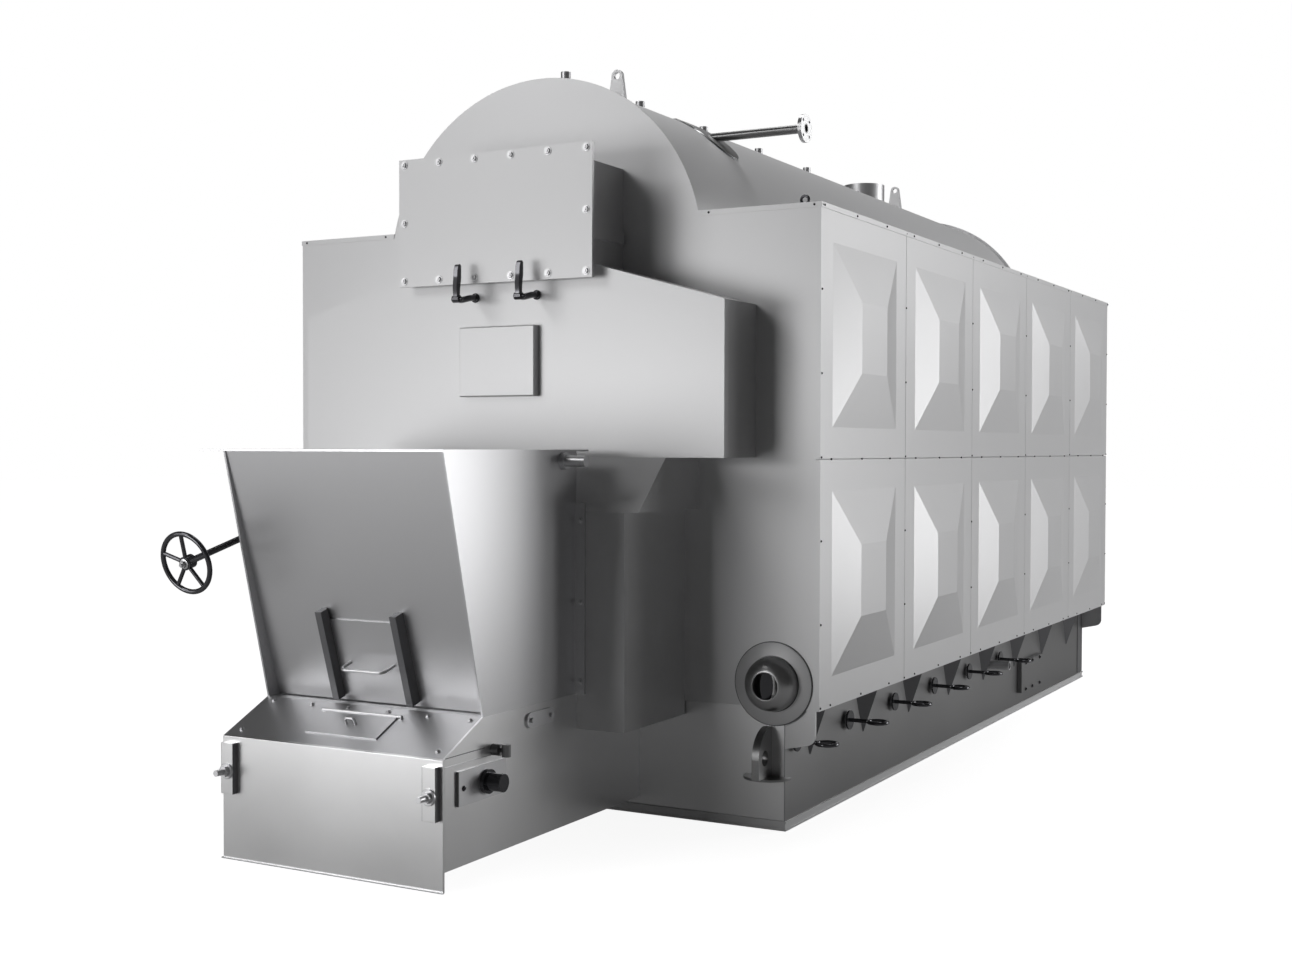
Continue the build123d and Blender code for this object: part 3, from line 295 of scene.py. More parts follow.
class Value:
    """A shader socket that can be written in Python sums."""

    def __init__(self, shader, socket):
        self.shader = shader
        self.socket = socket

    def combine(self, operation, other, flipped=False):
        first, second = (other, self) if flipped else (self, other)
        return self.shader.math(operation, first, second)

    def __add__(self, other):
        return self.combine("ADD", other)

    def __radd__(self, other):
        return self.combine("ADD", other, True)

    def __mul__(self, other):
        return self.combine("MULTIPLY", other)

    def __rmul__(self, other):
        return self.combine("MULTIPLY", other, True)

    def __truediv__(self, other):
        return self.combine("DIVIDE", other)

    def __rtruediv__(self, other):
        return self.combine("DIVIDE", other, True)


class Shader:
    """A material or a world under construction."""

    def __init__(self, name, library=None):
        self.material = (bpy.data.materials if library is None else library).new(name)
        self.material.use_nodes = True
        self.tree = self.material.node_tree
        self.tree.nodes.clear()

    def node(self, kind, settings=None, inputs=None, output=0):
        """Add one node: its settings first, then the values or links of its sockets."""
        node = self.tree.nodes.new(kind)
        for key, value in (settings or {}).items():
            if key == "stops":
                self.set_stops(node.color_ramp, value)
            else:
                setattr(node, key, value)
        for key, value in (inputs or {}).items():
            if isinstance(value, Value):
                self.tree.links.new(value.socket, node.inputs[key])
            else:
                node.inputs[key].default_value = value
        return Value(self, node.outputs[output])

    @staticmethod
    def set_stops(ramp, stops):
        """Set a ramp's stops from (position, brightness) pairs."""
        while len(ramp.elements) < len(stops):
            ramp.elements.new(0.5)
        for element, (position, level) in zip(ramp.elements, stops):
            element.position = position
            element.color = (level, level, level, 1)

    def math(self, operation, *terms):
        """A sum or test on one or two numbers."""
        return self.node("ShaderNodeMath", {"operation": operation}, dict(enumerate(terms)))

    def vector_math(self, operation, *terms, output=0):
        """A sum on one or two vectors."""
        inputs = dict(enumerate(terms))
        return self.node("ShaderNodeVectorMath", {"operation": operation}, inputs, output)

    def coordinates(self):
        """Object coordinates, in metres."""
        return self.node("ShaderNodeTexCoord", output="Object")

    def coordinate(self, axis):
        """One of the object coordinates."""
        return self.node("ShaderNodeSeparateXYZ", inputs={0: self.coordinates()}, output=axis)

    def noise(self, scale, detail, roughness, stretch=None):
        """Soft noise from 0 to 1, stretched along an axis where asked."""
        place = self.coordinates()
        if stretch:
            place = self.node("ShaderNodeMapping", inputs={"Vector": place, "Scale": stretch})
        inputs = {"Vector": place, "Scale": scale, "Detail": detail, "Roughness": roughness}
        return self.node("ShaderNodeTexNoise", inputs=inputs, output="Fac")

    def ramp(self, value, *stops):
        """Brightness that follows a value through a ramp."""
        return self.node("ShaderNodeValToRGB", {"stops": stops}, {"Fac": value})

    def mix(self, factor, first, second):
        """A mix of two colours, given as sockets or as (r, g, b)."""
        sides = {6: first, 7: second}
        sides = {k: v if isinstance(v, Value) else (*v, 1) for k, v in sides.items()}
        return self.node("ShaderNodeMix", {"data_type": "RGBA"}, {0: factor, **sides}, output=2)

    def blotched(self, factor, colour, dark, light):
        """A colour that wanders between a darker and a lighter tone of itself."""
        return self.mix(factor, scaled(colour, dark), scaled(colour, light))

    def finish(self, colour, roughness, metallic, edge, relief=None, depth=None):
        """Close the material with one Principled shader, its edges rounded a little."""
        normal = self.node("ShaderNodeBevel", {"samples": BEVEL_SAMPLES}, {"Radius": edge})
        if relief:
            inputs = {"Height": relief, "Distance": depth, "Strength": BUMP_STRENGTH}
            normal = self.node("ShaderNodeBump", inputs={**inputs, "Normal": normal})
        inputs = {"Base Color": colour, "Roughness": roughness, "Metallic": metallic}
        return self.close(
            self.node("ShaderNodeBsdfPrincipled", inputs={**inputs, "Normal": normal})
        )

    def close(self, surface, kind="ShaderNodeOutputMaterial"):
        """Join a surface to the output."""
        out = self.tree.nodes.new(kind)
        self.tree.links.new(surface.socket, out.inputs["Surface"])
        return self.material


class Spread(Shader):
    """A Geometry Nodes tree that sets a small item on many places."""

    def __init__(self, name, sizes):
        self.tree = bpy.data.node_groups.new(name, "GeometryNodeTree")
        face = self.tree.interface
        face.new_socket("Geometry", in_out="INPUT", socket_type="NodeSocketGeometry")
        for label in sizes:
            face.new_socket(label, in_out="INPUT", socket_type="NodeSocketFloat")
        face.new_socket("Turn", in_out="INPUT", socket_type="NodeSocketVector")
        face.new_socket("Geometry", in_out="OUTPUT", socket_type="NodeSocketGeometry")
        self.entry = self.tree.nodes.new("NodeGroupInput")

    def given(self, label):
        """One of the tree's inputs."""
        return Value(self, self.entry.outputs[label])

    def prism(self, sides, radius, top, height, rise):
        """A short prism that tapers to its top, raised above the surface."""
        inputs = {"Vertices": sides, "Radius Bottom": radius, "Radius Top": top, "Depth": height}
        item = self.node("GeometryNodeMeshCone", inputs=inputs)
        up = self.node("ShaderNodeCombineXYZ", inputs={"Z": rise})
        return self.node("GeometryNodeTransform", inputs={"Geometry": item, "Translation": up})

    def joined(self, items):
        """Several shapes as one item."""
        join = self.tree.nodes.new("GeometryNodeJoinGeometry")
        for item in reversed(items):
            self.tree.links.new(item.socket, join.inputs[0])
        return Value(self, join.outputs[0])

    def place(self, item, slot, smooth, along=None):
        """Set the item on every point, or along every edge at a spacing."""
        points = self.given("Geometry")
        if along:
            points = self.node("GeometryNodeMeshToCurve", inputs={"Mesh": points})
            inputs = {"Curve": points, "Length": along}
            points = self.node("GeometryNodeResampleCurve", {"mode": "LENGTH"}, inputs)
        inputs = {"Points": points, "Instance": item, "Rotation": self.given("Turn")}
        solid = self.node("GeometryNodeInstanceOnPoints", inputs=inputs)
        solid = self.node("GeometryNodeRealizeInstances", inputs={"Geometry": solid})
        inputs = {"Geometry": solid, "Shade Smooth": smooth}
        solid = self.node("GeometryNodeSetShadeSmooth", inputs=inputs)
        inputs = {"Geometry": solid, "Material": finish_for(slot)}
        solid = self.node("GeometryNodeSetMaterial", inputs=inputs)
        out = self.tree.nodes.new("NodeGroupOutput")
        self.tree.links.new(solid.socket, out.inputs["Geometry"])
        return self.tree


def scaled(colour, factor):
    """A colour made darker or lighter."""
    return tuple(min(1.0, channel * factor) for channel in colour)


def casing_paint(name, colour):
    """Satin machine paint on rolled sheet, a little darker towards the floor."""
    s = Shader(name)
    mottle = s.noise(scale=1.3, detail=4, roughness=0.55)
    grain = s.noise(scale=420, detail=2, roughness=0.6)
    # A little darker towards the floor.
    low_darkening = s.ramp(s.coordinate("Z"), (0.0, 1.0), (DARKER_BELOW, 0.0))
    paint_tone = s.blotched(mottle, colour, dark=0.93, light=1.05)
    paint_tone = s.mix(low_darkening * 0.12, paint_tone, scaled(colour, 0.8))
    rough = 0.25 + mottle * 0.07 + grain * 0.03
    return s.finish(paint_tone, rough, metallic=0.92, edge=0.004, relief=grain, depth=0.00008)


def plinth_shade_paint(name, colour):
    """The casing's paint, with painted shade on the two long sides of its foot under the overhang."""
    s = Shader(name)
    cloud = s.noise(scale=1.3, detail=4, roughness=0.55)
    # Mask of the foot's long sides, where the overhang's shade is painted.
    side = s.math("GREATER_THAN", s.math("ABSOLUTE", s.coordinate("X")), SHADED_PLINTH_FACE)
    dark = s.blotched(cloud, colour, dark=0.93, light=1.1)
    tint = s.mix(side, colour_of("casing"), dark)
    return s.finish(tint, 0.30 + cloud * 0.08, metallic=0.92, edge=0.004)


def steam_paint(name, colour):
    """The casing's paint on the pad and the flange, and dark steel on the pipe between them."""
    s = Shader(name)
    cloud = s.noise(scale=40, detail=3, roughness=0.6)
    low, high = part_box("steam_outlet")
    away = s.vector_math("SUBTRACT", s.coordinates(), tuple((low + high) / 2))
    away = s.vector_math("MULTIPLY", away, (0, 1, 1))
    reach = s.vector_math("LENGTH", away, output="Value")
    pipe = s.math("LESS_THAN", reach, STEAM_PIPE_REACH)
    dark = s.blotched(cloud, colour, dark=0.85, light=1.1)
    tint = s.mix(pipe, colour_of("casing"), dark)
    return s.finish(tint, 0.26 + cloud * 0.1, metallic=0.95, edge=0.002)


def satin_sheet(name, colour):
    """Bare brushed sheet steel with a soft sheen along the roll."""
    s = Shader(name)
    drawn = s.noise(scale=60, detail=3, roughness=0.6, stretch=(14.0, 14.0, 0.6))
    cloud = s.noise(scale=2.2, detail=4, roughness=0.5)
    grey = s.blotched(cloud, colour, dark=0.92, light=1.06)
    rough = 0.25 + cloud * 0.07 + drawn * 0.04
    return s.finish(grey, rough, metallic=0.95, edge=0.003, relief=drawn, depth=0.00005)


def bright_steel(name, colour):
    """Turned and rolled steel of bolts, nuts and flanges."""
    s = Shader(name)
    turning = s.noise(scale=260, detail=3, roughness=0.6)
    grey = s.blotched(turning, colour, dark=0.85, light=1.08)
    rough = 0.26 + turning * 0.16
    return s.finish(grey, rough, metallic=1.0, edge=0.001, relief=turning, depth=0.0001)


def blackened_steel(name, colour):
    """Polished black castings and bars."""
    s = Shader(name)
    cast = s.noise(scale=150, detail=4, roughness=0.6)
    tint = s.blotched(cast, colour, dark=0.8, light=1.3)
    rough = 0.13 + cast * 0.12
    return s.finish(tint, rough, metallic=1.0, edge=0.0015, relief=cast, depth=0.0002)


def painted_shade_finish(name, colour):
    """Near-black matt finish, painted shade on the brackets that sit in shade, and on the thin shade pieces."""
    s = Shader(name)
    cloud = s.noise(scale=9, detail=4, roughness=0.6)
    tint = s.blotched(cloud, colour, dark=0.8, light=1.25)
    rough = 0.36 + cloud * 0.15
    return s.finish(tint, rough, metallic=0.85, edge=0.002, relief=cloud, depth=0.0002)


# The nodes whose finish isn't that of their slot.
NODE_FINISHES = {
    # The grate box and the tension blocks take the brighter sheet, painted light.
    "tension_blocks": "grate_sheet",
    "grease_cups": "pipe",
    "eye_lugs": "pipe",
    "lifting_lugs": "casing",
    # The side plates and the lower casing get painted shade on their long sides.
    "side_plates": "plinth",
    "lower_casing": "plinth",
    "steam_outlet": "steam_pipe",
    "grate_box_front": "grate_sheet",
    "grate_box_sides": "grate_sheet",
}

# Each finish: what makes it, and its colour.
FINISHES = {
    "casing": (casing_paint, "casing"),
    "satin_sheet": (satin_sheet, "sheet"),
    # Casing paint with painted shade on the foot's long sides.
    "plinth": (plinth_shade_paint, "plinth"),
    # The satin sheet made brighter, painted light in place of the floor's reflection.
    "grate_sheet": (satin_sheet, "grate"),
    "pipe": (bright_steel, "pipe"),
    # The satin sheet in a darker grey, painted shade on the port domes.
    "port_sheet": (satin_sheet, "port"),
    "steam_pipe": (steam_paint, "pipe"),
    # Painted shade on the brackets and the thin shade pieces.
    "bracket_dark": (painted_shade_finish, "shade"),
    "bare_steel": (bright_steel, "steel"),
    "dark_steel": (blackened_steel, "dark"),
}


def colour_of(name):
    """One of the colours that a user may change."""
    return tuple(getattr(bpy.context.scene.boiler_colours, name))


def finish_for(name):
    """The material of a finish, made once."""
    if name not in bpy.data.materials:
        maker, colour = FINISHES[name]
        maker(name, colour_of(colour))
    return bpy.data.materials[name]


def link(name, data):
    """A new object in the scene."""
    thing = bpy.data.objects.new(name, data)
    bpy.context.scene.collection.objects.link(thing)
    return thing


def adopt(piece, body):
    """Hand a finished piece to the frame."""
    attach(piece, body)
    return piece


def dress(piece, body, slot, replaces=(), finish=None):
    """Give a piece its material and hand it to the frame."""
    piece.data.materials.clear()
    piece.data.materials.append(finish_for(finish or slot))
    adopt(piece, body)
    if replaces:
        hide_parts(*replaces)
    return piece


def sight_rays(shader, mirror):
    """1 for rays that show the white surroundings, and a share of it in metal."""
    share = shader.node("ShaderNodeLightPath", output="Is Camera Ray")
    share = share + shader.node("ShaderNodeLightPath", output="Is Transmission Ray")
    return share + shader.node("ShaderNodeLightPath", output="Is Glossy Ray") * mirror


class BOILER_OT_stage(bpy.types.Operator):
    """Build the floor, the lights and the camera"""

    bl_idname = "boiler.stage"
    bl_label = "Stage"

    def execute(self, context):
        studio = context.scene.boiler_studio
        self.floor(studio)
        self.world(studio)
        self.lights(studio)
        self.camera(studio)
        context.scene.view_settings.view_transform = "Standard"
        return {"FINISHED"}

    @staticmethod
    def floor(studio):
        mesh = bpy.data.meshes.new("studio_floor")
        ways = ((-1, -1), (1, -1), (1, 1), (-1, 1))
        corners = [(x * FLOOR_REACH, y * FLOOR_REACH, 0) for x, y in ways]
        mesh.from_pydata(corners, [], [(0, 1, 2, 3)])
        s = Shader("studio_white")
        away = s.vector_math("SUBTRACT", s.coordinates(), FLOOR_MIDDLE)
        reach = s.vector_math("LENGTH", away, output="Value")
        bright = s.ramp(reach / FLOOR_FADE, *FLOOR_WHITES)
        plain = s.node("ShaderNodeBsdfDiffuse", inputs={"Color": (*FLOOR_GREY, 1)})
        inputs = {"Color": (1, 1, 1, 1), "Strength": bright}
        glow = s.node("ShaderNodeEmission", inputs=inputs)
        lit = s.node("ShaderNodeAddShader", inputs={0: plain, 1: glow})
        seen = sight_rays(s, studio.floor_mirror)
        s.close(s.node("ShaderNodeMixShader", inputs={0: seen, 1: plain, 2: lit}))
        mesh.materials.append(s.material)
        link("studio_floor", mesh)

    @staticmethod
    def world(studio):
        s = Shader("studio_world", bpy.data.worlds)
        even, white = (
            s.node("ShaderNodeBackground", inputs={"Color": (1, 1, 1, 1), "Strength": level})
            for level in (studio.ambient, 1.0)
        )
        inputs = {0: sight_rays(s, studio.mirror), 1: even, 2: white}
        s.close(s.node("ShaderNodeMixShader", inputs=inputs), "ShaderNodeOutputWorld")
        bpy.context.scene.world = s.material

    @staticmethod
    def lights(studio):
        for name, power, bearing, distance, height, size in LAMPS:
            turn = math.radians(bearing)
            in_front = bearing < 0
            target = Vector(FRONT_AIM if in_front else SIDE_AIM)
            place = target + distance * Vector((math.cos(turn), math.sin(turn), 0))
            place.z = height
            light = bpy.data.lights.new(name, "AREA")
            light.energy = power * (studio.key if in_front else studio.side)
            light.size = size
            lamp = link(name, light)
            lamp.location = place
            lamp.rotation_euler = (target - place).to_track_quat("-Z", "Y").to_euler()

    @staticmethod
    def camera(studio):
        yaw, pitch, roll = (math.radians(a) for a in (studio.yaw, studio.pitch, studio.roll))
        level = math.cos(pitch)
        ahead = Vector((-math.sin(yaw) * level, math.cos(yaw) * level, math.sin(pitch)))
        right = Vector((math.cos(yaw), math.sin(yaw), 0))
        down = ahead.cross(right)
        lean = Matrix.Rotation(-roll, 3, "Z")
        right, down, ahead = lean @ Matrix((right, down, ahead))
        data = bpy.data.cameras.new("camera")
        data.sensor_width = SENSOR_WIDTH
        data.lens = studio.focal
        data.clip_end = VIEW_LIMIT
        camera = link("camera", data)
        turn = Matrix((right, -down, -ahead)).transposed().to_4x4()
        camera.matrix_world = Matrix.Translation(Vector(studio.place)) @ turn
        bpy.context.scene.camera = camera


class BOILER_OT_finishes(bpy.types.Operator):
    """Give every node of the frame its finish"""

    bl_idname = "boiler.finishes"
    bl_label = "Finishes"

    def execute(self, context):
        slots = {part["node"]: part["material_slot"] for part in frame["record"]["subparts"]}
        for name, node in frame["nodes"].items():
            node.data.materials.clear()
            node.data.materials.append(finish_for(NODE_FINISHES.get(name, slots[name])))
        return {"FINISHED"}


def from_bmesh(name, shape, smooth=True):
    """A mesh object from a finished bmesh, with its faces turned outwards."""
    bmesh.ops.remove_doubles(shape, verts=shape.verts, dist=MERGE_DISTANCE)
    bmesh.ops.recalc_face_normals(shape, faces=shape.faces)
    mesh = bpy.data.meshes.new(name)
    shape.to_mesh(mesh)
    shape.free()
    for face in mesh.polygons:
        face.use_smooth = smooth
    if smooth:
        mesh.set_sharp_from_angle(angle=SMOOTH_ANGLE)
    return link(name, mesh)


def spread(name, tree, places, edges, slot, turn, **sizes):
    """Run a tree over some places and keep the result as a plain mesh."""
    mesh = bpy.data.meshes.new(name)
    mesh.from_pydata(places, edges, [])
    piece = link(name, mesh)
    modifier = piece.modifiers.new(tree.name, "NODES")
    modifier.node_group = tree
    sockets = [item for item in tree.interface.items_tree if item.in_out == "INPUT"]
    labels = {item.name: item.identifier for item in sockets}
    for label, value in {**sizes, "Turn": turn}.items():
        modifier[labels[label]] = value
    graph = bpy.context.evaluated_depsgraph_get()
    mesh = bpy.data.meshes.new_from_object(piece.evaluated_get(graph))
    piece.modifiers.clear()
    piece.data = mesh
    return adopt(piece, "boiler")


def bolt_tree(slot):
    """A hexagon head on a washer, with the thread's end showing."""
    name = "hexagon_bolt_" + slot
    if name in bpy.data.node_groups:
        return bpy.data.node_groups[name]
    t = Spread(name, ("Radius", "Height"))
    radius, height = t.given("Radius"), t.given("Height")
    parts = [
        t.prism(sides, radius * wide, radius * top, height * tall, height * rise)
        for sides, wide, top, tall, rise in BOLT_PARTS
    ]
    return t.place(t.joined(parts), slot, False)


def rivet_tree():
    """A low dome, repeated along every seam."""
    t = Spread("domed_rivet", ("Radius", "Spacing"))
    inputs = {"Segments": RIVET_SEGMENTS, "Rings": RIVET_RINGS, "Radius": t.given("Radius")}
    ball = t.node("GeometryNodeMeshUVSphere", inputs=inputs)
    return t.place(ball, "dark_steel", True, t.given("Spacing"))


class BOILER_OT_rivets(bpy.types.Operator):
    """Rivet the casing sheets along their seams"""

    bl_idname = "boiler.rivets"
    bl_label = "Casing rivets"

    def execute(self, context):
        sizes = context.scene.boiler_sizes
        deck_start, deck_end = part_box("top_decks")
        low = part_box("lower_side_panels")[0].z + SEAM_INSET
        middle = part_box("upper_side_panels")[0].z - SEAM_DROP
        high = deck_end.z - sizes.trim_height / 2
        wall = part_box("lower_casing")[1].x + SHEET_STANDS
        front = deck_start.y
        bay = (deck_end.y - front - DECK_FOLD) / BAYS
        end = BAYS * bay
        lines = []
        for side in (1, -1):
            x = side * wall
            edge = side * (wall + DECK_STEP)
            lines.append(((edge, DECK_SEAM_START, high), (edge, end, high)))
            for z in (low, middle):
                lines.append(((x, LONG_SEAM_START, z), (x, end - LONG_SEAM_STOP, z)))
            for seam in range(BAYS + 1):
                y = min(max(seam * bay, SEAM_INSET), end - SEAM_INSET)
                lines.append(((x, y, low), (x, y, high)))
        for side in (-1, 1):
            outer = side * (wall - FRONT_SEAM_STOP)
            lines.append(((side * FRONT_SEAM_START, front, high), (outer, front, high)))
        places = [point for line in lines for point in line]
        edges = [(2 * i, 2 * i + 1) for i in range(len(lines))]
        spread(
            "casing_rivets", rivet_tree(), places, edges, "dark_steel", (0, 0, 0),
            Radius=sizes.rivet_radius, Spacing=sizes.rivet_spacing,
        )
        return {"FINISHED"}


class BOILER_OT_bolts(bpy.types.Operator):
    """Bolt the door plate, the hopper, the grate box and the side plates"""

    bl_idname = "boiler.bolts"
    bl_label = "Hexagon bolts"

    def execute(self, context):
        self.door()
        self.flanges()
        self.slope()
        self.sides("side_plate_bolts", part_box("side_plates")[1].x, SIDE_PLATE_BOLTS, 0.8)
        self.sides("bearing_bolts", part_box("bearing_plates")[1].x, BEARING_BOLTS, 0.7)
        return {"FINISHED"}

    @staticmethod
    def bolts(name, places, turn, scale, slot):
        """Set one row of bolts, their size given as a share of the usual one."""
        sizes = bpy.context.scene.boiler_sizes
        spread(
            name, bolt_tree(slot), places, [], slot, turn,
            Radius=sizes.bolt_radius * scale, Height=sizes.bolt_height * scale,
        )

    def door(self):
        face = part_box("door_plate")[0].y
        steps = range(DOOR_BOLT_COLUMNS)
        columns = [DOOR_BOLT_SPACING * step - DOOR_BOLT_EDGE for step in steps]
        places = [(x, face, z) for z in DOOR_BOLT_ROWS for x in columns]
        places += [(side * DOOR_BOLT_EDGE, face, DOOR_BOLT_MIDDLE) for side in (-1, 1)]
        self.bolts("door_bolts", places, FACING_FRONT, 1.2, "bare_steel")

    def flanges(self):
        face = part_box("hopper_back")[0].y - FLANGE_LIP
        sides = (FLANGE_BOLT_SIDE, -FLANGE_BOLT_SIDE)
        places = [(x, face, z) for x in sides for z in FLANGE_BOLT_ROWS]
        self.bolts("flange_bolts", places, FACING_FRONT, 1.0, "bare_steel")

    def slope(self):
        foot, height = SLOPE_FOOT
        places = [
            (x, y, height + (y - foot) * SLOPE_RISE / SLOPE_RUN)
            for y, row in SLOPE_BOLTS for x in row
        ]
        lean = math.atan2(SLOPE_RISE, SLOPE_RUN)
        self.bolts("slope_bolts", places, (lean, 0, 0), 0.85, "bare_steel")

    def sides(self, name, x, rows, scale):
        right = [(x, y, z) for y, z in rows]
        left = [(-x, y, z) for y, z in rows]
        self.bolts(name + "_right", right, FACING_RIGHT, scale, "dark_steel")
        self.bolts(name + "_left", left, FACING_LEFT, scale, "dark_steel")


def bar(name, points, radius, body, slot):
    """A round bar along a smooth path, as a plain mesh."""
    curve = bpy.data.curves.new(name, "CURVE")
    curve.dimensions = "3D"
    curve.bevel_depth = radius
    curve.bevel_resolution = BAR_ROUNDNESS
    curve.resolution_u = BAR_STEPS
    curve.use_fill_caps = True
    line = curve.splines.new("NURBS")
    line.points.add(len(points) - 1)
    for point, place in zip(line.points, points):
        point.co = (*place, 1)
    line.order_u = 3
    line.use_endpoint_u = True
    path = link(name + "_path", curve)
    graph = bpy.context.evaluated_depsgraph_get()
    mesh = bpy.data.meshes.new_from_object(path.evaluated_get(graph))
    bpy.data.objects.remove(path)
    mesh.name = name
    return dress(link(name, mesh), body, slot)


def slab(shape, corners, depth, across):
    """Add a plate to a bmesh: an outline carried along a direction."""
    outline = [shape.verts.new(Vector(corner)) for corner in corners]
    grown = bmesh.ops.extrude_face_region(shape, geom=[shape.faces.new(outline)])
    moved = [item for item in grown["geom"] if isinstance(item, bmesh.types.BMVert)]
    bmesh.ops.translate(shape, verts=moved, vec=Vector(across) * depth)


def side_strip(shape, x, rectangle, depth, way):
    """Add an upright rectangle that faces sideways to a bmesh, and thicken it that way."""
    front, back, low, high = rectangle
    corners = [(x, front, low), (x, back, low), (x, back, high), (x, front, high)]
    slab(shape, corners, depth, (way, 0, 0))


def turned(shape, profile, axis, place, steps=40):
    """Add a turned solid to a bmesh, along an axis from a place."""
    spin = Vector(axis).normalized().to_track_quat("Z", "Y").to_matrix()
    rings = []
    for radius, distance in profile:
        ring = []
        for step in range(steps):
            angle = math.tau * step / steps
            local = Vector((radius * math.cos(angle), radius * math.sin(angle), distance))
            ring.append(shape.verts.new(Vector(place) + spin @ local))
        rings.append(ring)
    for low, high in zip(rings, rings[1:]):
        for step in range(steps):
            after = (step + 1) % steps
            shape.faces.new((low[step], low[after], high[after], high[step]))
    for ring in (rings[0], rings[-1]):
        shape.faces.new(ring)


class BOILER_OT_clamps(bpy.types.Operator):
    """Curved swing clamps in front of the door plate"""

    bl_idname = "boiler.clamps"
    bl_label = "Door clamps"

    def execute(self, context):
        right, front = (1, 0, 0), (0, -1, 0)
        shape = bmesh.new()
        for x in CLAMP_PLACES:
            corners = [(x - LEVER_WIDTH / 2, y, z) for y, z in LEVER_OUTLINE]
            slab(shape, corners, LEVER_WIDTH, right)
            turned(shape, PIN, right, (x - PIN_HALF_LENGTH, *PIN_PLACE))
            turned(shape, PIN_NUT, right, (x + PIN_HALF_LENGTH, *PIN_PLACE), 6)
            turned(shape, ARM_FOOT, front, (x, *ARM_FOOT_PLACE))
        clamps = from_bmesh("clamp_levers", shape)
        rounding = clamps.modifiers.new("round", "BEVEL")
        rounding.width = LEVER_ROUNDING
        rounding.segments = 2
        dress(clamps, "boiler", "dark_steel", ["door_clamps"])
        for place, x in enumerate(CLAMP_PLACES, 1):
            path = [(x, y, z) for y, z in ARM_PATH]
            bar(f"clamp_arm_{place}", path, ARM_RADIUS, "boiler", "dark_steel")
        return {"FINISHED"}


class BOILER_OT_wheel_nut(bpy.types.Operator):
    """Nut and washer on the handwheel's hub"""

    bl_idname = "boiler.wheel_nut"
    bl_label = "Handwheel nut"

    def execute(self, context):
        joint = next(j for j in frame["joints"] if j["name"] == "handwheel_spin")
        axis = Vector(joint["axis"])
        face = Vector(joint["pos_m"]) - axis * WHEEL_HUB_HALF
        shape = bmesh.new()
        turned(shape, WHEEL_WASHER, -axis, face)
        turned(shape, WHEEL_NUT, -axis, face, 6)
        turned(shape, WHEEL_STUD, -axis, face)
        dress(from_bmesh("handwheel_nut", shape), "handwheel_set", "bare_steel")
        return {"FINISHED"}


class BOILER_OT_hems(bpy.types.Operator):
    """Folded hems and ledges of the grate box, and near-black strips of painted shade at its slot, at the bearing
    plates' edges and at the lower casing's rear end
    """

    bl_idname = "boiler.hems"
    bl_label = "Hems and strips"

    def execute(self, context):
        hems, shade_strips = bmesh.new(), bmesh.new()
        side_strip(hems, -FOOT_HEM_HALF_WIDTH, FOOT_HEM, 2 * FOOT_HEM_HALF_WIDTH, 1)
        plates_start, plates_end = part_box("bearing_plates")
        edge = (plates_start.y, plates_start.y - BEARING_EDGE, *BEARING_EDGE_HEIGHTS)
        edge_depth = plates_end.x - BOX_HALF_WIDTH + BEARING_EDGE_PROUD
        for side in (-1, 1):
            box = side * BOX_HALF_WIDTH
            side_strip(hems, box, BOX_LEDGE, BOX_LEDGE_DEPTH, side)
            # Near-black strips of painted shade.
            side_strip(shade_strips, side * REAR_STRIP_SIDE, REAR_STRIP, REAR_STRIP_DEPTH, side)
            side_strip(shade_strips, box, BOX_SLOT, BOX_SLOT_DEPTH, side)
            side_strip(shade_strips, box, edge, edge_depth, side)
        dress(from_bmesh("grate_box_hems", hems, False), "boiler", "satin_sheet")
        dress(from_bmesh("dark_strips", shade_strips, False), "boiler", "bracket_dark")
        return {"FINISHED"}


class BOILER_OT_tension(bpy.types.Operator):
    """Washers, nuts and near-black sheets of painted shade on the sides of the tension blocks"""

    bl_idname = "boiler.tension"
    bl_label = "Tension nuts"

    def execute(self, context):
        low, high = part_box("tension_blocks")
        outer, inner = high.x, high.x - BLOCK_WIDTH
        shade_sheets, rings, nuts = bmesh.new(), bmesh.new(), bmesh.new()
        for side in (-1, 1):
            # Near-black sheets on both sides of each block, painted shade.
            for x, way in ((outer, side), (inner, -side)):
                side_strip(shade_sheets, side * x, (low.y, high.y, low.z, high.z), SHADE_SHEET_THICKNESS, way)
            centre = (side * (inner + outer) / 2, low.y, TENSION_HEIGHT)
            turned(rings, TENSION_WASHER, (0, -1, 0), centre)
            turned(nuts, TENSION_NUT, (0, -1, 0), centre, 6)
        dress(from_bmesh("tension_cheeks", shade_sheets, False), "boiler", "bracket_dark")
        dress(from_bmesh("tension_washers", rings), "boiler", "bare_steel")
        dress(from_bmesh("tension_nuts", nuts, False), "boiler", "dark_steel")
        return {"FINISHED"}


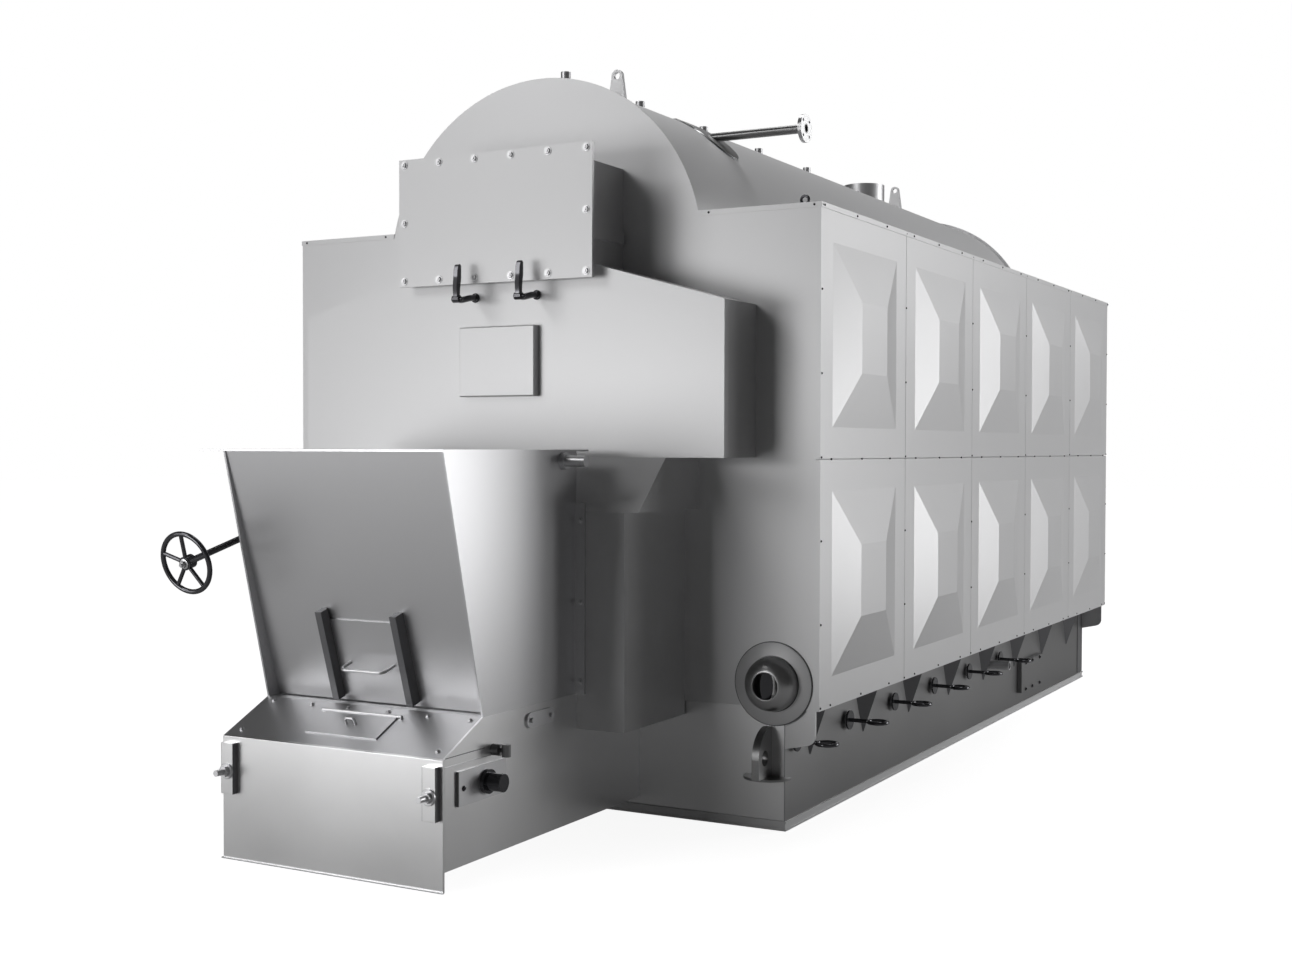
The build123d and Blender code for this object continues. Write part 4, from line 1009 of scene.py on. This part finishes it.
class BOILER_OT_ports(bpy.types.Operator):
    """Domed air ports with a vane in each mouth"""

    bl_idname = "boiler.ports"
    bl_label = "Air ports"

    def execute(self, context):
        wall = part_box("front_wall")[0].y
        front = (0, -1, 0)
        discs, domes, shade_rings, vanes = (bmesh.new() for _ in range(4))
        for side in (-1, 1):
            centre = (side * PORT_SIDE, wall, PORT_HEIGHT)
            turned(discs, PORT_DISC, front, centre, PORT_STEPS)
            turned(domes, PORT_DOME_OUTSIDE + PORT_DOME_INSIDE, front, centre, PORT_STEPS)
            for shade_ring in PORT_SHADE_RINGS:
                turned(shade_rings, shade_ring, front, centre, PORT_STEPS)
            slab(vanes, self.vane(side, wall), VANE_THICKNESS, front)
        dress(from_bmesh("port_discs", discs), "boiler", "casing")
        domes = from_bmesh("port_domes", domes)
        # The domes take the darker grey of painted shade.
        dress(domes, "boiler", "casing", ["air_ports"], "port_sheet")
        # Near-black rings at the port edges, painted shade.
        dress(from_bmesh("port_gaskets", shade_rings), "boiler", "bracket_dark")
        dress(from_bmesh("port_vanes", vanes, False), "boiler", "dark_steel")
        return {"FINISHED"}

    @staticmethod
    def vane(side, wall):
        """The outline of the slanting oval plate in a port's mouth."""
        rim = []
        for step in range(VANE_STEPS):
            angle = math.tau * step / VANE_STEPS
            across = VANE_HALF_WIDTH * math.cos(angle)
            x = side * PORT_SIDE + across * VANE_SLANT[0]
            y = wall - VANE_STANDS + side * across * VANE_SLANT[1]
            rim.append((x, y, PORT_HEIGHT + VANE_HALF_HEIGHT * math.sin(angle)))
        return rim


class BOILER_PT_panel(bpy.types.Panel):
    """The boiler's tools in the sidebar"""

    bl_idname = "BOILER_PT_panel"
    bl_label = "Boiler"
    bl_space_type = "VIEW_3D"
    bl_region_type = "UI"
    bl_category = "Boiler"

    def draw(self, context):
        for name, kind in GROUPS.items():
            for setting in kind.__annotations__:
                self.layout.prop(getattr(context.scene, name), setting)
        for step in STEPS:
            self.layout.operator(step.bl_idname)


GROUPS = {
    "boiler_sizes": BoilerSizes,
    "boiler_colours": BoilerColours,
    "boiler_studio": BoilerStudio,
}
STEPS = (
    BOILER_OT_stage,
    BOILER_OT_finishes,
    BOILER_OT_rivets,
    BOILER_OT_bolts,
    BOILER_OT_clamps,
    BOILER_OT_wheel_nut,
    BOILER_OT_hems,
    BOILER_OT_tension,
    BOILER_OT_ports,
)


def register():
    for kind in (*GROUPS.values(), *STEPS, BOILER_PT_panel):
        bpy.utils.register_class(kind)
    for name, kind in GROUPS.items():
        setattr(bpy.types.Scene, name, PointerProperty(type=kind))


def unregister():
    for name in GROUPS:
        delattr(bpy.types.Scene, name)
    for kind in (BOILER_PT_panel, *reversed(STEPS), *GROUPS.values()):
        bpy.utils.unregister_class(kind)


def main():
    """Register the tools and run them in order."""
    register()
    for step in STEPS:
        group, name = step.bl_idname.split(".")
        getattr(getattr(bpy.ops, group), name)()


if __name__ == "__main__":
    main()
